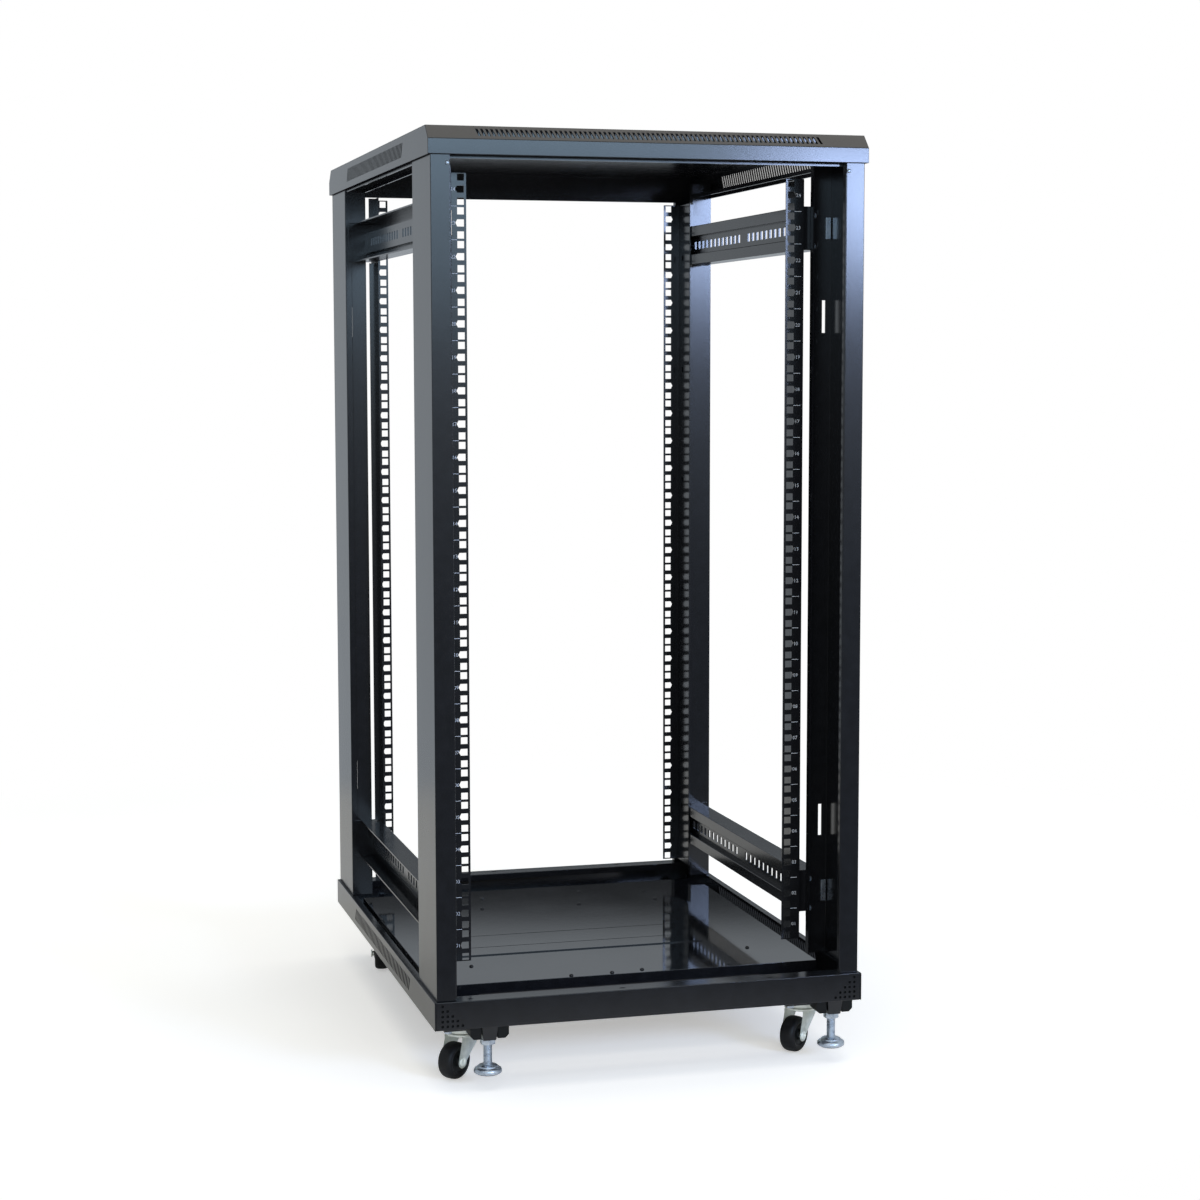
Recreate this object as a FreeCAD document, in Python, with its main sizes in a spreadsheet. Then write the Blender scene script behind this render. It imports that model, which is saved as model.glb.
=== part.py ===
import FreeCAD, Part
import os
import re
import Sketcher

# Four post open frame rack, 24 units high, on swivel casters with levelling feet.
# Millimetres. X runs to the right, Y to the back, Z up; the origin is on the floor
# under the middle of the frame.

SIZES = {
    # overall frame: its width follows from the rails, see HALF_WIDTH
    "frame_depth": 800,
    "caster_height": 88,
    # base
    "base_height": 38,
    "base_sheet": 2,
    "base_front_flange": 28,
    "base_front_lip": 10,
    "base_side_flange": 10,
    "base_foot_flange": 60,
    "vent_length": 448,
    "vent_height": 23,
    "vent_slot": 6,
    "vent_pitch": 16,
    # floor plate and cable entry
    "floor_sheet": 1.5,
    "floor_side_gap": 23,
    "floor_end_gap": 115,
    "floor_drop": 8,
    "entry_left": 215,
    "entry_right": 145,
    "entry_depth": 170,
    "entry_setback": 277,
    "entry_lap": 10,
    "slat_gap": 2,
    "slat_front": 31,
    # equipment rails
    "rack_units": 24,
    "unit_height": 44.45,
    "rail_lift": 24,
    "rail_setback": 118,
    "rear_rail_setback": 100,
    "rail_opening": 450,
    "rail_face": 26.5,
    "rail_web": 42,
    "rail_lip": 10,
    "rail_sheet": 2,
    "hole_side": 9.5,
    "hole_spread": 465.1,
    "hole_step": 15.875,
    "hole_point": 2.5,
    "edge_notch": 7,
    "edge_notch_height": 33,
    "bolt_hole": 8,
    "bolt_hole_pitch": 177.8,
    # corner posts
    "rail_to_post": 2.5,
    "post_inset": 4,
    "post_setback": 5,
    "post_depth": 122,
    "post_front": 26,
    "post_return": 32,
    "post_lip": 12,
    "post_sheet": 2,
    "post_slot_width": 5,
    "post_slot_height": 45,
    "post_slot_inset": 12,
    "post_slot_low": 170,
    "post_slot_high": 880,
    "post_hole": 6.5,
    "post_hole_inset": 8,
    # side depth channels
    "channel_high_unit": 23,
    "channel_low_unit": 2,
    "channel_height": 60,
    "channel_depth": 30,
    "channel_recess": 8,
    "channel_recess_height": 28,
    "channel_sheet": 2,
    "channel_end_gap": 2.5,
    "channel_slot_width": 9.5,
    "channel_slot_height": 12,
    "channel_slot_pitch": 19.5,
    "channel_group_gap": 36,
    "channel_group_margin": 28,
    # top frame and cover
    "cover_gap": 13.2,
    "cover_skirt": 20,
    "cover_chamfer": 18,
    "cover_sheet": 1.5,
    "beam_drop": 10,
    "beam_flange": 30,
    "beam_sheet": 2,
    "beam_clearance": 0.3,
    "side_beam_height": 12,
    "roof_slot": 5,
    "roof_slot_depth": 11,
    "roof_vent_length": 464,
    # casters
    "swivel_inset": 56,
    "swivel_setback": 89,
    "wheel_radius": 25,
    "wheel_trail": 19,
    "wheel_width": 22,
    "tread_shoulder": 3,
    "hub_width": 24,
    "hub_radius": 8,
    "axle_radius": 4,
    "axle_head_across": 13,
    "axle_head": 4,
    "fork_gap": 25,
    "fork_sheet": 2.5,
    "fork_boss": 9,
    "crown_radius": 23,
    "crown_top": 61,
    "crown_sheet": 3.5,
    "kingpin_radius": 5,
    "kingpin_head": 8,
    "race_radius": 22,
    "race_taper": 2,
    "mount_width": 64,
    "mount_sheet": 3,
    "plate_top": 72.5,
    "plate_sheet": 2.5,
    "bearing_clearance": 0.1,
    "race_clearance": 0.3,
    # levelling feet
    "foot_sideways": 20,
    "foot_forward": 67,
    "foot_lift": 20,
    "pad_radius": 19,
    "pad_height": 13,
    "pad_rim": 7,
    "pad_neck": 3,
    "stud_radius": 6,
    "stud_top": 94,
    "bracket_height": 20,
    "bracket_width": 53,
    "bracket_depth": 26,
    "boss_width": 22,
    "boss_depth": 34,
    "lug_step": 2,
    "nut_across": 19,
    "nut_height": 8,
    "stud_hole": 7,
}

# Heights and faces that several pieces share, as expressions of the sizes.
BASE_TOP = "(caster_height + base_height)"
RAIL_BOTTOM = "(caster_height + base_height + rail_lift)"
RAIL_LENGTH = "(rack_units * unit_height)"
COVER_BOTTOM = "(caster_height + base_height + rail_lift + rack_units * unit_height + cover_gap)"
COVER_FOLD = "(" + COVER_BOTTOM + " + cover_skirt)"
COVER_TOP = "(" + COVER_FOLD + " + cover_chamfer)"
BEAM_TOP = "(" + COVER_TOP + " - cover_sheet)"
BEAM_BOTTOM = "(" + COVER_BOTTOM + " - beam_drop)"
RAIL_SIDE = "(rail_opening / 2 + rail_face)"
POST_SIDE = "(" + RAIL_SIDE + " + rail_lip + rail_to_post + post_return)"
HALF_WIDTH = "(" + POST_SIDE + " + post_inset)"
HALF_DEPTH = "(frame_depth / 2)"
POST_FACE = "(frame_depth / 2 - post_setback)"
POST_BACK = "(frame_depth / 2 - post_setback - post_depth)"
RAIL_FRONT = "(frame_depth / 2 - rail_setback)"
PLATE_BOTTOM = "(plate_top - plate_sheet)"
CROWN_BOTTOM = "(crown_top - crown_sheet)"
SWIVEL_SIDE = "(" + HALF_WIDTH + " - swivel_inset)"
CHANNEL_UNITS = ("channel_low_unit", "channel_high_unit")
FLOOR_TOP = "(caster_height + base_height - floor_drop)"

os.makedirs("parts", exist_ok=True)
doc = FreeCAD.newDocument("open_frame_rack")
sheet = doc.addObject("Spreadsheet::Sheet", "Sizes")
for row, (word, number) in enumerate(SIZES.items(), start=1):
    sheet.set("A%d" % row, word)
    sheet.set("B%d" % row, str(number))
    sheet.setAlias("B%d" % row, word)
doc.recompute()

nodes = {}


def bound(text):
    """Point every size named in an expression at its cell."""
    return re.sub(r"[a-z_]+", lambda w: "Sizes." + w.group() if w.group() in SIZES else w.group(), text)


def new_body(label):
    body = doc.addObject("PartDesign::Body", label)
    body.Label = label
    nodes[label] = body
    return body


def origin_feature(body, role):
    return [feature for feature in body.Origin.OriginFeatures if feature.Role == role][0]


def new_sketch(body, name, plane, offset):
    """Attach a sketch to one of the body's own planes, moved along the plane's normal."""
    sketch = body.newObject("Sketcher::SketchObject", name)
    sketch.AttachmentSupport = (origin_feature(body, plane + "_Plane"), [""])
    sketch.MapMode = "FlatFace"
    sketch.setExpression("AttachmentOffset.Base.z", bound(offset))
    return sketch


def draw_loops(sketch, loops):
    """Draw closed outlines whose corners are pinned to expressions of the sizes."""
    for loop in loops:
        count = len(loop)
        first = sketch.GeometryCount
        seeds = []
        for index in range(count):
            turn = FreeCAD.Rotation(FreeCAD.Vector(0, 0, 1), 360.0 * index / count)
            seeds.append(turn.multVec(FreeCAD.Vector(100 + first, 0, 0)))
        lines = [Part.LineSegment(seeds[i], seeds[(i + 1) % count]) for i in range(count)]
        sketch.addGeometry(lines, False)
        joins = []
        for index in range(count):
            after = first + (index + 1) % count
            joins.append(Sketcher.Constraint("Coincident", first + index, 2, after, 1))
        sketch.addConstraint(joins)
        pins = []
        for index in range(count):
            pins.append(Sketcher.Constraint("DistanceX", -1, 1, first + index, 1, seeds[index].x))
            pins.append(Sketcher.Constraint("DistanceY", -1, 1, first + index, 1, seeds[index].y))
        start = sketch.addConstraint(pins)[0]
        for index, (across, up) in enumerate(loop):
            sketch.setExpression("Constraints[%d]" % (start + 2 * index), bound(across))
            sketch.setExpression("Constraints[%d]" % (start + 2 * index + 1), bound(up))


def draw_circles(sketch, circles):
    """Draw circles from (across, up, radius) expressions."""
    for across, up, radius in circles:
        ring = sketch.addGeometry(Part.Circle(FreeCAD.Vector(1, 1, 0), FreeCAD.Vector(0, 0, 1), 3), False)
        pins = [
            Sketcher.Constraint("DistanceX", -1, 1, ring, 3, 1.0),
            Sketcher.Constraint("DistanceY", -1, 1, ring, 3, 1.0),
            Sketcher.Constraint("Radius", ring, 3.0),
        ]
        start = sketch.addConstraint(pins)[0]
        for step, text in enumerate((across, up, radius)):
            sketch.setExpression("Constraints[%d]" % (start + step), bound(text))


def box_loop(low_across, low_up, high_across, high_up):
    return [(low_across, low_up), (high_across, low_up), (high_across, high_up), (low_across, high_up)]


def hexagon(across_flats, middle, height):
    """Six corners round a middle point, two of them level with it."""
    corner = "(" + across_flats + " / sqrt(3))"
    flat = "(" + across_flats + " / 2)"
    return [
        (middle + " + " + corner, height),
        (middle + " + " + corner + " / 2", height + " + " + flat),
        (middle + " - " + corner + " / 2", height + " + " + flat),
        (middle + " - " + corner, height),
        (middle + " - " + corner + " / 2", height + " - " + flat),
        (middle + " + " + corner + " / 2", height + " - " + flat),
    ]


def pad(body, name, sketch, length, symmetric=False, flip=False):
    feature = body.newObject("PartDesign::Pad", name)
    feature.Profile = sketch
    feature.setExpression("Length", bound(length))
    if symmetric:
        feature.SideType = "Symmetric"
    feature.Reversed = flip
    doc.recompute()
    return feature


def pocket(body, name, sketch, depth=None, symmetric=False, flip=False):
    """Cut a sketch out of the body, to a depth or right through, and see that it cut."""
    before = body.Shape.Volume
    feature = body.newObject("PartDesign::Pocket", name)
    feature.Profile = sketch
    if depth is None:
        feature.Type = "ThroughAll"
    else:
        feature.setExpression("Length", bound(depth))
    if symmetric:
        feature.SideType = "Symmetric"
    feature.Reversed = flip
    doc.recompute()
    if not body.Shape.Volume < before:
        raise RuntimeError(body.Label + ": " + name + " cuts nothing")
    return feature


def repeat(body, name, feature, axis, length, count):
    """Repeat a feature along one of the body's own axes."""
    pattern = body.newObject("PartDesign::LinearPattern", name)
    pattern.Originals = [feature]
    pattern.Direction = (origin_feature(body, axis + "_Axis"), [""])
    pattern.setExpression("Length", bound(length))
    pattern.setExpression("Occurrences", bound(count))
    body.Tip = pattern
    doc.recompute()
    return pattern


def turn_profile(body, name, plane, axis, points):
    """Revolve a closed half profile about one of the body's own axes."""
    sketch = new_sketch(body, name + "_profile", plane, "0")
    draw_loops(sketch, [points])
    feature = body.newObject("PartDesign::Revolution", name)
    feature.Profile = sketch
    feature.ReferenceAxis = (origin_feature(body, axis + "_Axis"), [""])
    feature.Angle = 360
    doc.recompute()
    return feature


def place(body, across, back, up, turn=0):
    body.Placement.Rotation = FreeCAD.Rotation(FreeCAD.Vector(0, 0, 1), turn)
    body.setExpression("Placement.Base.x", bound(across))
    body.setExpression("Placement.Base.y", bound(back))
    body.setExpression("Placement.Base.z", bound(up))


def mirrored(label, source, normal, middle="0"):
    """Mirror a piece in an upright plane; middle is where that plane crosses the Y axis."""
    copy = doc.addObject("Part::Mirroring", label)
    copy.Label = label
    copy.Source = source
    copy.Normal = normal
    copy.setExpression("Base.y", bound(middle))
    nodes[label] = copy
    return copy


ACROSS = FreeCAD.Vector(1, 0, 0)
ALONG = FreeCAD.Vector(0, 1, 0)


# ---------------------------------------------------------------- base


def vent_slots(body, side, low, high):
    """Upright vent slots in the middle of a side wall."""
    sketch = new_sketch(body, "vent_outline", "YZ", side)
    first = "(-vent_length / 2)"
    draw_loops(sketch, [box_loop(first, low, first + " + vent_slot", high)])
    cut = pocket(body, "vent_slot_cut", sketch, symmetric=True)
    count = "floor((vent_length - vent_slot) / vent_pitch) + 1"
    repeat(body, "vent_slots", cut, "Y", "(vent_length - vent_slot)", count)


def make_base_side():
    """Left side wall of the base with narrow top flange and wide bottom flange."""
    body = new_body("base_left_side")
    sketch = new_sketch(body, "section", "XZ", "0")
    wall = "(-" + HALF_WIDTH + ")"
    inner = wall + " + base_sheet"
    draw_loops(sketch, [[
        (wall, "caster_height"),
        (wall + " + base_foot_flange", "caster_height"),
        (wall + " + base_foot_flange", "caster_height + base_sheet"),
        (inner, "caster_height + base_sheet"),
        (inner, BASE_TOP + " - base_sheet"),
        (wall + " + base_side_flange", BASE_TOP + " - base_sheet"),
        (wall + " + base_side_flange", BASE_TOP),
        (wall, BASE_TOP),
    ]])
    pad(body, "channel", sketch, "frame_depth", symmetric=True)
    cope = new_sketch(body, "bottom_cope_outline", "XY", "caster_height + base_sheet")
    reach = wall + " + base_foot_flange + base_sheet"
    draw_loops(cope, [
        box_loop(inner, "-" + HALF_DEPTH, reach, "-" + HALF_DEPTH + " + base_foot_flange"),
        box_loop(inner, HALF_DEPTH + " - base_foot_flange", reach, HALF_DEPTH),
    ])
    pocket(body, "bottom_cope", cope, "base_sheet")
    cope = new_sketch(body, "top_cope_outline", "XY", BASE_TOP)
    draw_loops(cope, [
        box_loop(inner, "-" + HALF_DEPTH, reach, "-" + HALF_DEPTH + " + base_front_flange"),
        box_loop(inner, HALF_DEPTH + " - base_front_flange", reach, HALF_DEPTH),
    ])
    pocket(body, "top_cope", cope, "base_sheet")
    middle = "(caster_height + base_height / 2)"
    vent_slots(body, wall, middle + " - vent_height / 2", middle + " + vent_height / 2")
    mirrored("base_right_side", body, ACROSS)


def make_base_beam():
    """Front beam of the base: skirt, top flange with a lip, bottom flange that carries the feet."""
    body = new_body("base_front_beam")
    sketch = new_sketch(body, "section", "YZ", "0")
    face = "(-frame_depth / 2)"
    lip = face + " + base_front_flange"
    draw_loops(sketch, [[
        (face, "caster_height"),
        (face + " + base_foot_flange", "caster_height"),
        (face + " + base_foot_flange", "caster_height + base_sheet"),
        (face + " + base_sheet", "caster_height + base_sheet"),
        (face + " + base_sheet", BASE_TOP + " - base_sheet"),
        (lip + " - base_sheet", BASE_TOP + " - base_sheet"),
        (lip + " - base_sheet", BASE_TOP + " - base_front_lip"),
        (lip, BASE_TOP + " - base_front_lip"),
        (lip, BASE_TOP),
        (face, BASE_TOP),
    ]])
    pad(body, "channel", sketch, "2 * (" + HALF_WIDTH + " - base_sheet)", symmetric=True)
    holes = new_sketch(body, "stud_hole_outline", "XY", "caster_height + base_sheet")
    back = "-" + HALF_DEPTH + " + swivel_setback - foot_forward"
    draw_circles(holes, [
        ("foot_sideways - " + SWIVEL_SIDE, back, "stud_hole"),
        ("foot_sideways + " + SWIVEL_SIDE, back, "stud_hole"),
    ])
    pocket(body, "stud_holes", holes, "base_sheet")
    mirrored("base_rear_beam", body, ALONG)


def make_floor():
    """Floor plate as an inverted tray, with a cable entry closed by three slats."""
    body = new_body("floor_plate")
    underside = "(caster_height + base_sheet)"
    depth = "(" + FLOOR_TOP + " - " + underside + ")"
    side = "(" + HALF_WIDTH + " - floor_side_gap)"
    end = "(" + HALF_DEPTH + " - floor_end_gap)"
    outline = new_sketch(body, "tray_outline", "XY", underside)
    draw_loops(outline, [box_loop("-" + side, "-" + end, side, end)])
    pad(body, "tray", outline, depth)
    inside = new_sketch(body, "inside_outline", "XY", FLOOR_TOP + " - floor_sheet")
    side = "(" + side + " - floor_sheet)"
    end = "(" + end + " - floor_sheet)"
    draw_loops(inside, [box_loop("-" + side, "-" + end, side, end)])
    pocket(body, "inside", inside, depth + " - floor_sheet")
    entry = new_sketch(body, "entry_outline", "XY", FLOOR_TOP)
    front = "(-" + HALF_DEPTH + " + entry_setback)"
    back = "(" + front + " + entry_depth)"
    draw_loops(entry, [box_loop("-entry_left", front, "entry_right", back)])
    pocket(body, "cable_entry", entry, "floor_sheet")

    slats = new_body("cable_entry_slats")
    sketch = new_sketch(slats, "slat_outline", "XY", FLOOR_TOP)
    left = "(-entry_left - entry_lap)"
    right = "(entry_right + entry_lap)"
    draw_loops(sketch, [box_loop(left, front + " - entry_lap", right, back + " + entry_lap")])
    pad(slats, "lid", sketch, "floor_sheet")
    seams = new_sketch(slats, "seam_outline", "XY", FLOOR_TOP + " + floor_sheet / 2")
    first = "(" + front + " + slat_front)"
    second = "(" + first + " + (entry_depth - slat_front) / 2)"
    left = "(" + left + " + 2 * slat_gap)"
    right = "(" + right + " - 2 * slat_gap)"
    draw_loops(seams, [box_loop(left, low, right, low + " + slat_gap") for low in (first, second)])
    pocket(slats, "seams", seams, flip=True)


# ---------------------------------------------------------------- posts and rails


def make_posts():
    """Folded corner post: narrow front, wide side, slotted return flange and two lips."""
    body = new_body("corner_post_front_left")
    sketch = new_sketch(body, "section", "XY", BASE_TOP)
    side = "(-" + POST_SIDE + ")"
    front = "(-frame_depth / 2 + post_setback)"
    back = "(" + front + " + post_depth)"
    draw_loops(sketch, [[
        (side, front),
        (side + " + post_front", front),
        (side + " + post_front", front + " + post_lip"),
        (side + " + post_front - post_sheet", front + " + post_lip"),
        (side + " + post_front - post_sheet", front + " + post_sheet"),
        (side + " + post_sheet", front + " + post_sheet"),
        (side + " + post_sheet", back + " - post_sheet"),
        (side + " + post_return - post_sheet", back + " - post_sheet"),
        (side + " + post_return - post_sheet", back + " - post_lip"),
        (side + " + post_return", back + " - post_lip"),
        (side + " + post_return", back),
        (side, back),
    ]])
    pad(body, "sheet", sketch, COVER_FOLD + " - " + BASE_TOP)
    slots = new_sketch(body, "return_slot_outline", "XZ", "-" + back)
    left = side + " + post_slot_inset - post_slot_width / 2"
    right = side + " + post_slot_inset + post_slot_width / 2"
    draw_loops(slots, [
        box_loop(left, BASE_TOP + " + " + low, right, BASE_TOP + " + " + low + " + post_slot_height")
        for low in ("post_slot_low", "post_slot_high")
    ])
    pocket(body, "return_slots", slots, "post_sheet", flip=True)
    holes = new_sketch(body, "return_hole_outline", "XZ", "-" + back)
    left = side + " + post_return - post_hole_inset - post_hole / 2"
    right = side + " + post_return - post_hole_inset + post_hole / 2"
    low = "(" + RAIL_BOTTOM + " + unit_height - post_hole / 2)"
    draw_loops(holes, [box_loop(left, low, right, low + " + post_hole")])
    cut = pocket(body, "return_hole", holes, "post_sheet", flip=True)
    repeat(body, "return_holes", cut, "Z", "(rack_units - 2) * unit_height", "rack_units - 1")
    front_right = mirrored("corner_post_front_right", body, ACROSS)
    mirrored("corner_post_rear_left", body, ALONG)
    mirrored("corner_post_rear_right", front_right, ALONG)


def make_rail(label, sign, notched):
    """Equipment rail: square holes three to a unit, side web with bolt holes, notched lip."""
    body = new_body(label)
    sketch = new_sketch(body, "section", "XY", RAIL_BOTTOM)
    edge = "(%s rail_opening / 2)" % sign
    side = "(%s %s)" % (sign, RAIL_SIDE)
    inner = "(%s (%s - rail_sheet))" % (sign, RAIL_SIDE)
    lip = "(%s (%s + rail_lip))" % (sign, RAIL_SIDE)
    front = "(-" + RAIL_FRONT + ")"
    draw_loops(sketch, [[
        (edge, front),
        (edge, front + " + rail_sheet"),
        (inner, front + " + rail_sheet"),
        (inner, front + " + rail_web"),
        (lip, front + " + rail_web"),
        (lip, front + " + rail_web - rail_sheet"),
        (side, front + " + rail_web - rail_sheet"),
        (side, front),
    ]])
    pad(body, "sheet", sketch, RAIL_LENGTH)

    holes = new_sketch(body, "unit_hole_outline", "XZ", RAIL_FRONT)
    near = "(%s (hole_spread - hole_side) / 2)" % sign
    far = "(%s (hole_spread + hole_side) / 2)" % sign
    point = "(%s ((hole_spread + hole_side) / 2 + hole_point))" % sign
    middle = "(" + RAIL_BOTTOM + " + unit_height / 2)"
    low = "(" + middle + " - hole_side / 2)"
    high = "(" + middle + " + hole_side / 2)"
    draw_loops(holes, [
        box_loop(near, low + " - hole_step", far, high + " - hole_step"),
        box_loop(near, low + " + hole_step", far, high + " + hole_step"),
        [(near, low), (far, low), (point, middle), (far, high), (near, high)],
    ])
    cut = pocket(body, "unit_holes", holes, "rail_sheet")
    repeat(body, "all_unit_holes", cut, "Z", "(rack_units - 1) * unit_height", "rack_units")

    bolts = new_sketch(body, "web_hole_outline", "YZ", side)
    back = "(" + front + " + rail_web / 2)"
    low = "(" + RAIL_BOTTOM + " + bolt_hole_pitch / 2)"
    draw_loops(bolts, [box_loop(back, low, back + " + bolt_hole", low + " + bolt_hole")])
    cut = pocket(body, "web_hole", bolts, "2 * rail_sheet", symmetric=True)
    span = "(rack_units * unit_height - bolt_hole_pitch)"
    repeat(body, "web_holes", cut, "Z", span, "floor(" + span + " / bolt_hole_pitch) + 1")

    notches = new_sketch(body, "lip_notch_outline", "YZ", side)
    centres = ["(" + RAIL_BOTTOM + " + (" + unit + " - 0.5) * unit_height)" for unit in CHANNEL_UNITS]
    reach = "(channel_height / 2 + rail_sheet)"
    deep = "(" + front + " + rail_web - rail_sheet)"
    draw_loops(notches, [
        box_loop(deep, middle + " - " + reach, front + " + rail_web + rail_sheet", middle + " + " + reach)
        for middle in centres
    ])
    pocket(body, "lip_notches", notches, "rail_lip", flip=(sign == ""))
    if notched:
        notches = new_sketch(body, "edge_notch_outline", "XZ", RAIL_FRONT)
        outer = "(%s (%s + rail_sheet))" % (sign, RAIL_SIDE)
        inner = "(%s (%s - edge_notch))" % (sign, RAIL_SIDE)
        draw_loops(notches, [
            box_loop(inner, middle + " - edge_notch_height / 2", outer, middle + " + edge_notch_height / 2")
            for middle in centres
        ])
        pocket(body, "edge_notches", notches, "edge_notch")
    rear = label.replace("front", "rear")
    mirrored(rear, body, ALONG, "(rail_setback - rear_rail_setback) / 2")


def make_channel(label, unit):
    """Side depth channel: recessed and slotted middle, two bands, flanges and end ears."""
    body = new_body(label + "_left")
    middle = "(" + RAIL_BOTTOM + " + (" + unit + " - 0.5) * unit_height)"
    inner = "(-" + RAIL_SIDE + ")"
    recess = "(-" + RAIL_SIDE + " - channel_recess)"
    tips = "(-" + RAIL_SIDE + " - channel_depth)"
    top = "(" + middle + " + channel_height / 2)"
    bottom = "(" + middle + " - channel_height / 2)"
    high = "(" + middle + " + channel_recess_height / 2)"
    low = "(" + middle + " - channel_recess_height / 2)"
    sketch = new_sketch(body, "section", "XZ", "0")
    draw_loops(sketch, [[
        (tips, top),
        (inner, top),
        (inner, high),
        (recess, high),
        (recess, low),
        (inner, low),
        (inner, bottom),
        (tips, bottom),
        (tips, bottom + " + channel_sheet"),
        (inner + " - channel_sheet", bottom + " + channel_sheet"),
        (inner + " - channel_sheet", low + " - channel_sheet"),
        (recess + " - channel_sheet", low + " - channel_sheet"),
        (recess + " - channel_sheet", high + " + channel_sheet"),
        (inner + " - channel_sheet", high + " + channel_sheet"),
        (inner + " - channel_sheet", top + " - channel_sheet"),
        (tips, top + " - channel_sheet"),
    ]])
    length = "(2 * " + POST_BACK + ")"
    tip = "(-" + POST_SIDE + " + post_sheet + channel_end_gap)"
    pad(body, "sheet", sketch, length, symmetric=True)
    ears = new_sketch(body, "front_ear_outline", "XZ", POST_BACK)
    draw_loops(ears, [box_loop(tip, bottom, inner, top)])
    pad(body, "front_ear", ears, "channel_sheet", flip=True)
    ears = new_sketch(body, "rear_ear_outline", "XZ", "-" + POST_BACK)
    draw_loops(ears, [box_loop(tip, bottom, inner, top)])
    pad(body, "rear_ear", ears, "channel_sheet")
    slots = new_sketch(body, "slot_outline", "YZ", recess)
    room = "(" + POST_BACK + " - channel_group_gap / 2 - channel_group_margin - channel_slot_width)"
    steps = "floor(" + room + " / channel_slot_pitch)"
    group = "(" + steps + " * channel_slot_pitch)"
    low = middle + " - channel_slot_height / 2"
    high = middle + " + channel_slot_height / 2"
    starts = ("(channel_group_gap / 2)", "(-channel_group_gap / 2 - channel_slot_width - " + group + ")")
    draw_loops(slots, [box_loop(start, low, start + " + channel_slot_width", high) for start in starts])
    cut = pocket(body, "slot_pair", slots, "channel_sheet")
    repeat(body, "slots", cut, "Y", group, steps + " + 1")
    mirrored(label + "_right", body, ACROSS)


# ---------------------------------------------------------------- top


def make_top_beams():
    """Front beam of the top frame as a channel; side beams as shallow trays between the posts."""
    body = new_body("top_front_beam")
    sketch = new_sketch(body, "section", "YZ", "0")
    bend = "cover_sheet * (sqrt(2) - 1)"
    inside = HALF_DEPTH + " - cover_chamfer - " + bend + " - beam_clearance"
    face = "(-min(" + POST_FACE + " - post_lip; " + inside + "))"
    draw_loops(sketch, [[
        (face, BEAM_BOTTOM),
        (face + " + beam_flange", BEAM_BOTTOM),
        (face + " + beam_flange", BEAM_BOTTOM + " + beam_sheet"),
        (face + " + beam_sheet", BEAM_BOTTOM + " + beam_sheet"),
        (face + " + beam_sheet", BEAM_TOP + " - beam_sheet"),
        (face + " + beam_flange", BEAM_TOP + " - beam_sheet"),
        (face + " + beam_flange", BEAM_TOP),
        (face, BEAM_TOP),
    ]])
    pad(body, "sheet", sketch, "2 * (" + POST_SIDE + " - post_sheet)", symmetric=True)
    mirrored("top_rear_beam", body, ALONG)

    side = new_body("top_left_beam")
    sketch = new_sketch(side, "section", "XZ", "0")
    wall = "(-" + POST_SIDE + " + post_sheet)"
    edge = "(" + wall + " + beam_flange)"
    rim = "(" + BEAM_BOTTOM + " + side_beam_height)"
    draw_loops(sketch, [[
        (wall, BEAM_BOTTOM),
        (edge, BEAM_BOTTOM),
        (edge, rim),
        (edge + " - beam_sheet", rim),
        (edge + " - beam_sheet", BEAM_BOTTOM + " + beam_sheet"),
        (wall + " + beam_sheet", BEAM_BOTTOM + " + beam_sheet"),
        (wall + " + beam_sheet", rim),
        (wall, rim),
    ]])
    pad(side, "sheet", sketch, "2 * " + POST_BACK, symmetric=True)
    mirrored("top_right_beam", side, ACROSS)


def make_cover():
    """Roof cover: flat top, chamfered front and rear with vent slots, grilled side walls."""
    body = new_body("top_cover")
    sketch = new_sketch(body, "outside_section", "YZ", "0")
    draw_loops(sketch, [[
        ("-" + HALF_DEPTH, COVER_BOTTOM),
        (HALF_DEPTH, COVER_BOTTOM),
        (HALF_DEPTH, COVER_FOLD),
        (HALF_DEPTH + " - cover_chamfer", COVER_TOP),
        ("-" + HALF_DEPTH + " + cover_chamfer", COVER_TOP),
        ("-" + HALF_DEPTH, COVER_FOLD),
    ]])
    pad(body, "outside", sketch, "2 * " + HALF_WIDTH, symmetric=True)
    inside = new_sketch(body, "inside_section", "YZ", "0")
    end = "(frame_depth / 2 - cover_sheet)"
    bend = "(cover_sheet * (sqrt(2) - 1))"
    fold = "(" + COVER_FOLD + " - " + bend + ")"
    flat = "(" + COVER_TOP + " - cover_sheet)"
    ridge = "(frame_depth / 2 - cover_chamfer - " + bend + ")"
    draw_loops(inside, [[
        ("-" + end, COVER_BOTTOM),
        (end, COVER_BOTTOM),
        (end, fold),
        (ridge, flat),
        ("-" + ridge, flat),
        ("-" + end, fold),
    ]])
    pocket(body, "inside", inside, "2 * (" + HALF_WIDTH + " - cover_sheet)", symmetric=True)
    slots = new_sketch(body, "roof_slot_outline", "XY", COVER_TOP)
    first = "(-roof_vent_length / 2)"
    near = "(frame_depth / 2 - cover_chamfer / 2 - roof_slot_depth / 2)"
    far = "(frame_depth / 2 - cover_chamfer / 2 + roof_slot_depth / 2)"
    draw_loops(slots, [
        box_loop(first, near, first + " + roof_slot", far),
        box_loop(first, "-" + far, first + " + roof_slot", "-" + near),
    ])
    cut = pocket(body, "roof_slot_pair", slots, "cover_chamfer + cover_skirt / 2")
    count = "floor((roof_vent_length - roof_slot) / vent_pitch) + 1"
    repeat(body, "roof_slots", cut, "X", "(roof_vent_length - roof_slot)", count)
    middle = "((" + COVER_BOTTOM + " + " + COVER_TOP + ") / 2)"
    vent_slots(body, "0", middle + " - vent_height / 2", middle + " + vent_height / 2")


# ---------------------------------------------------------------- casters and feet


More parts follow.
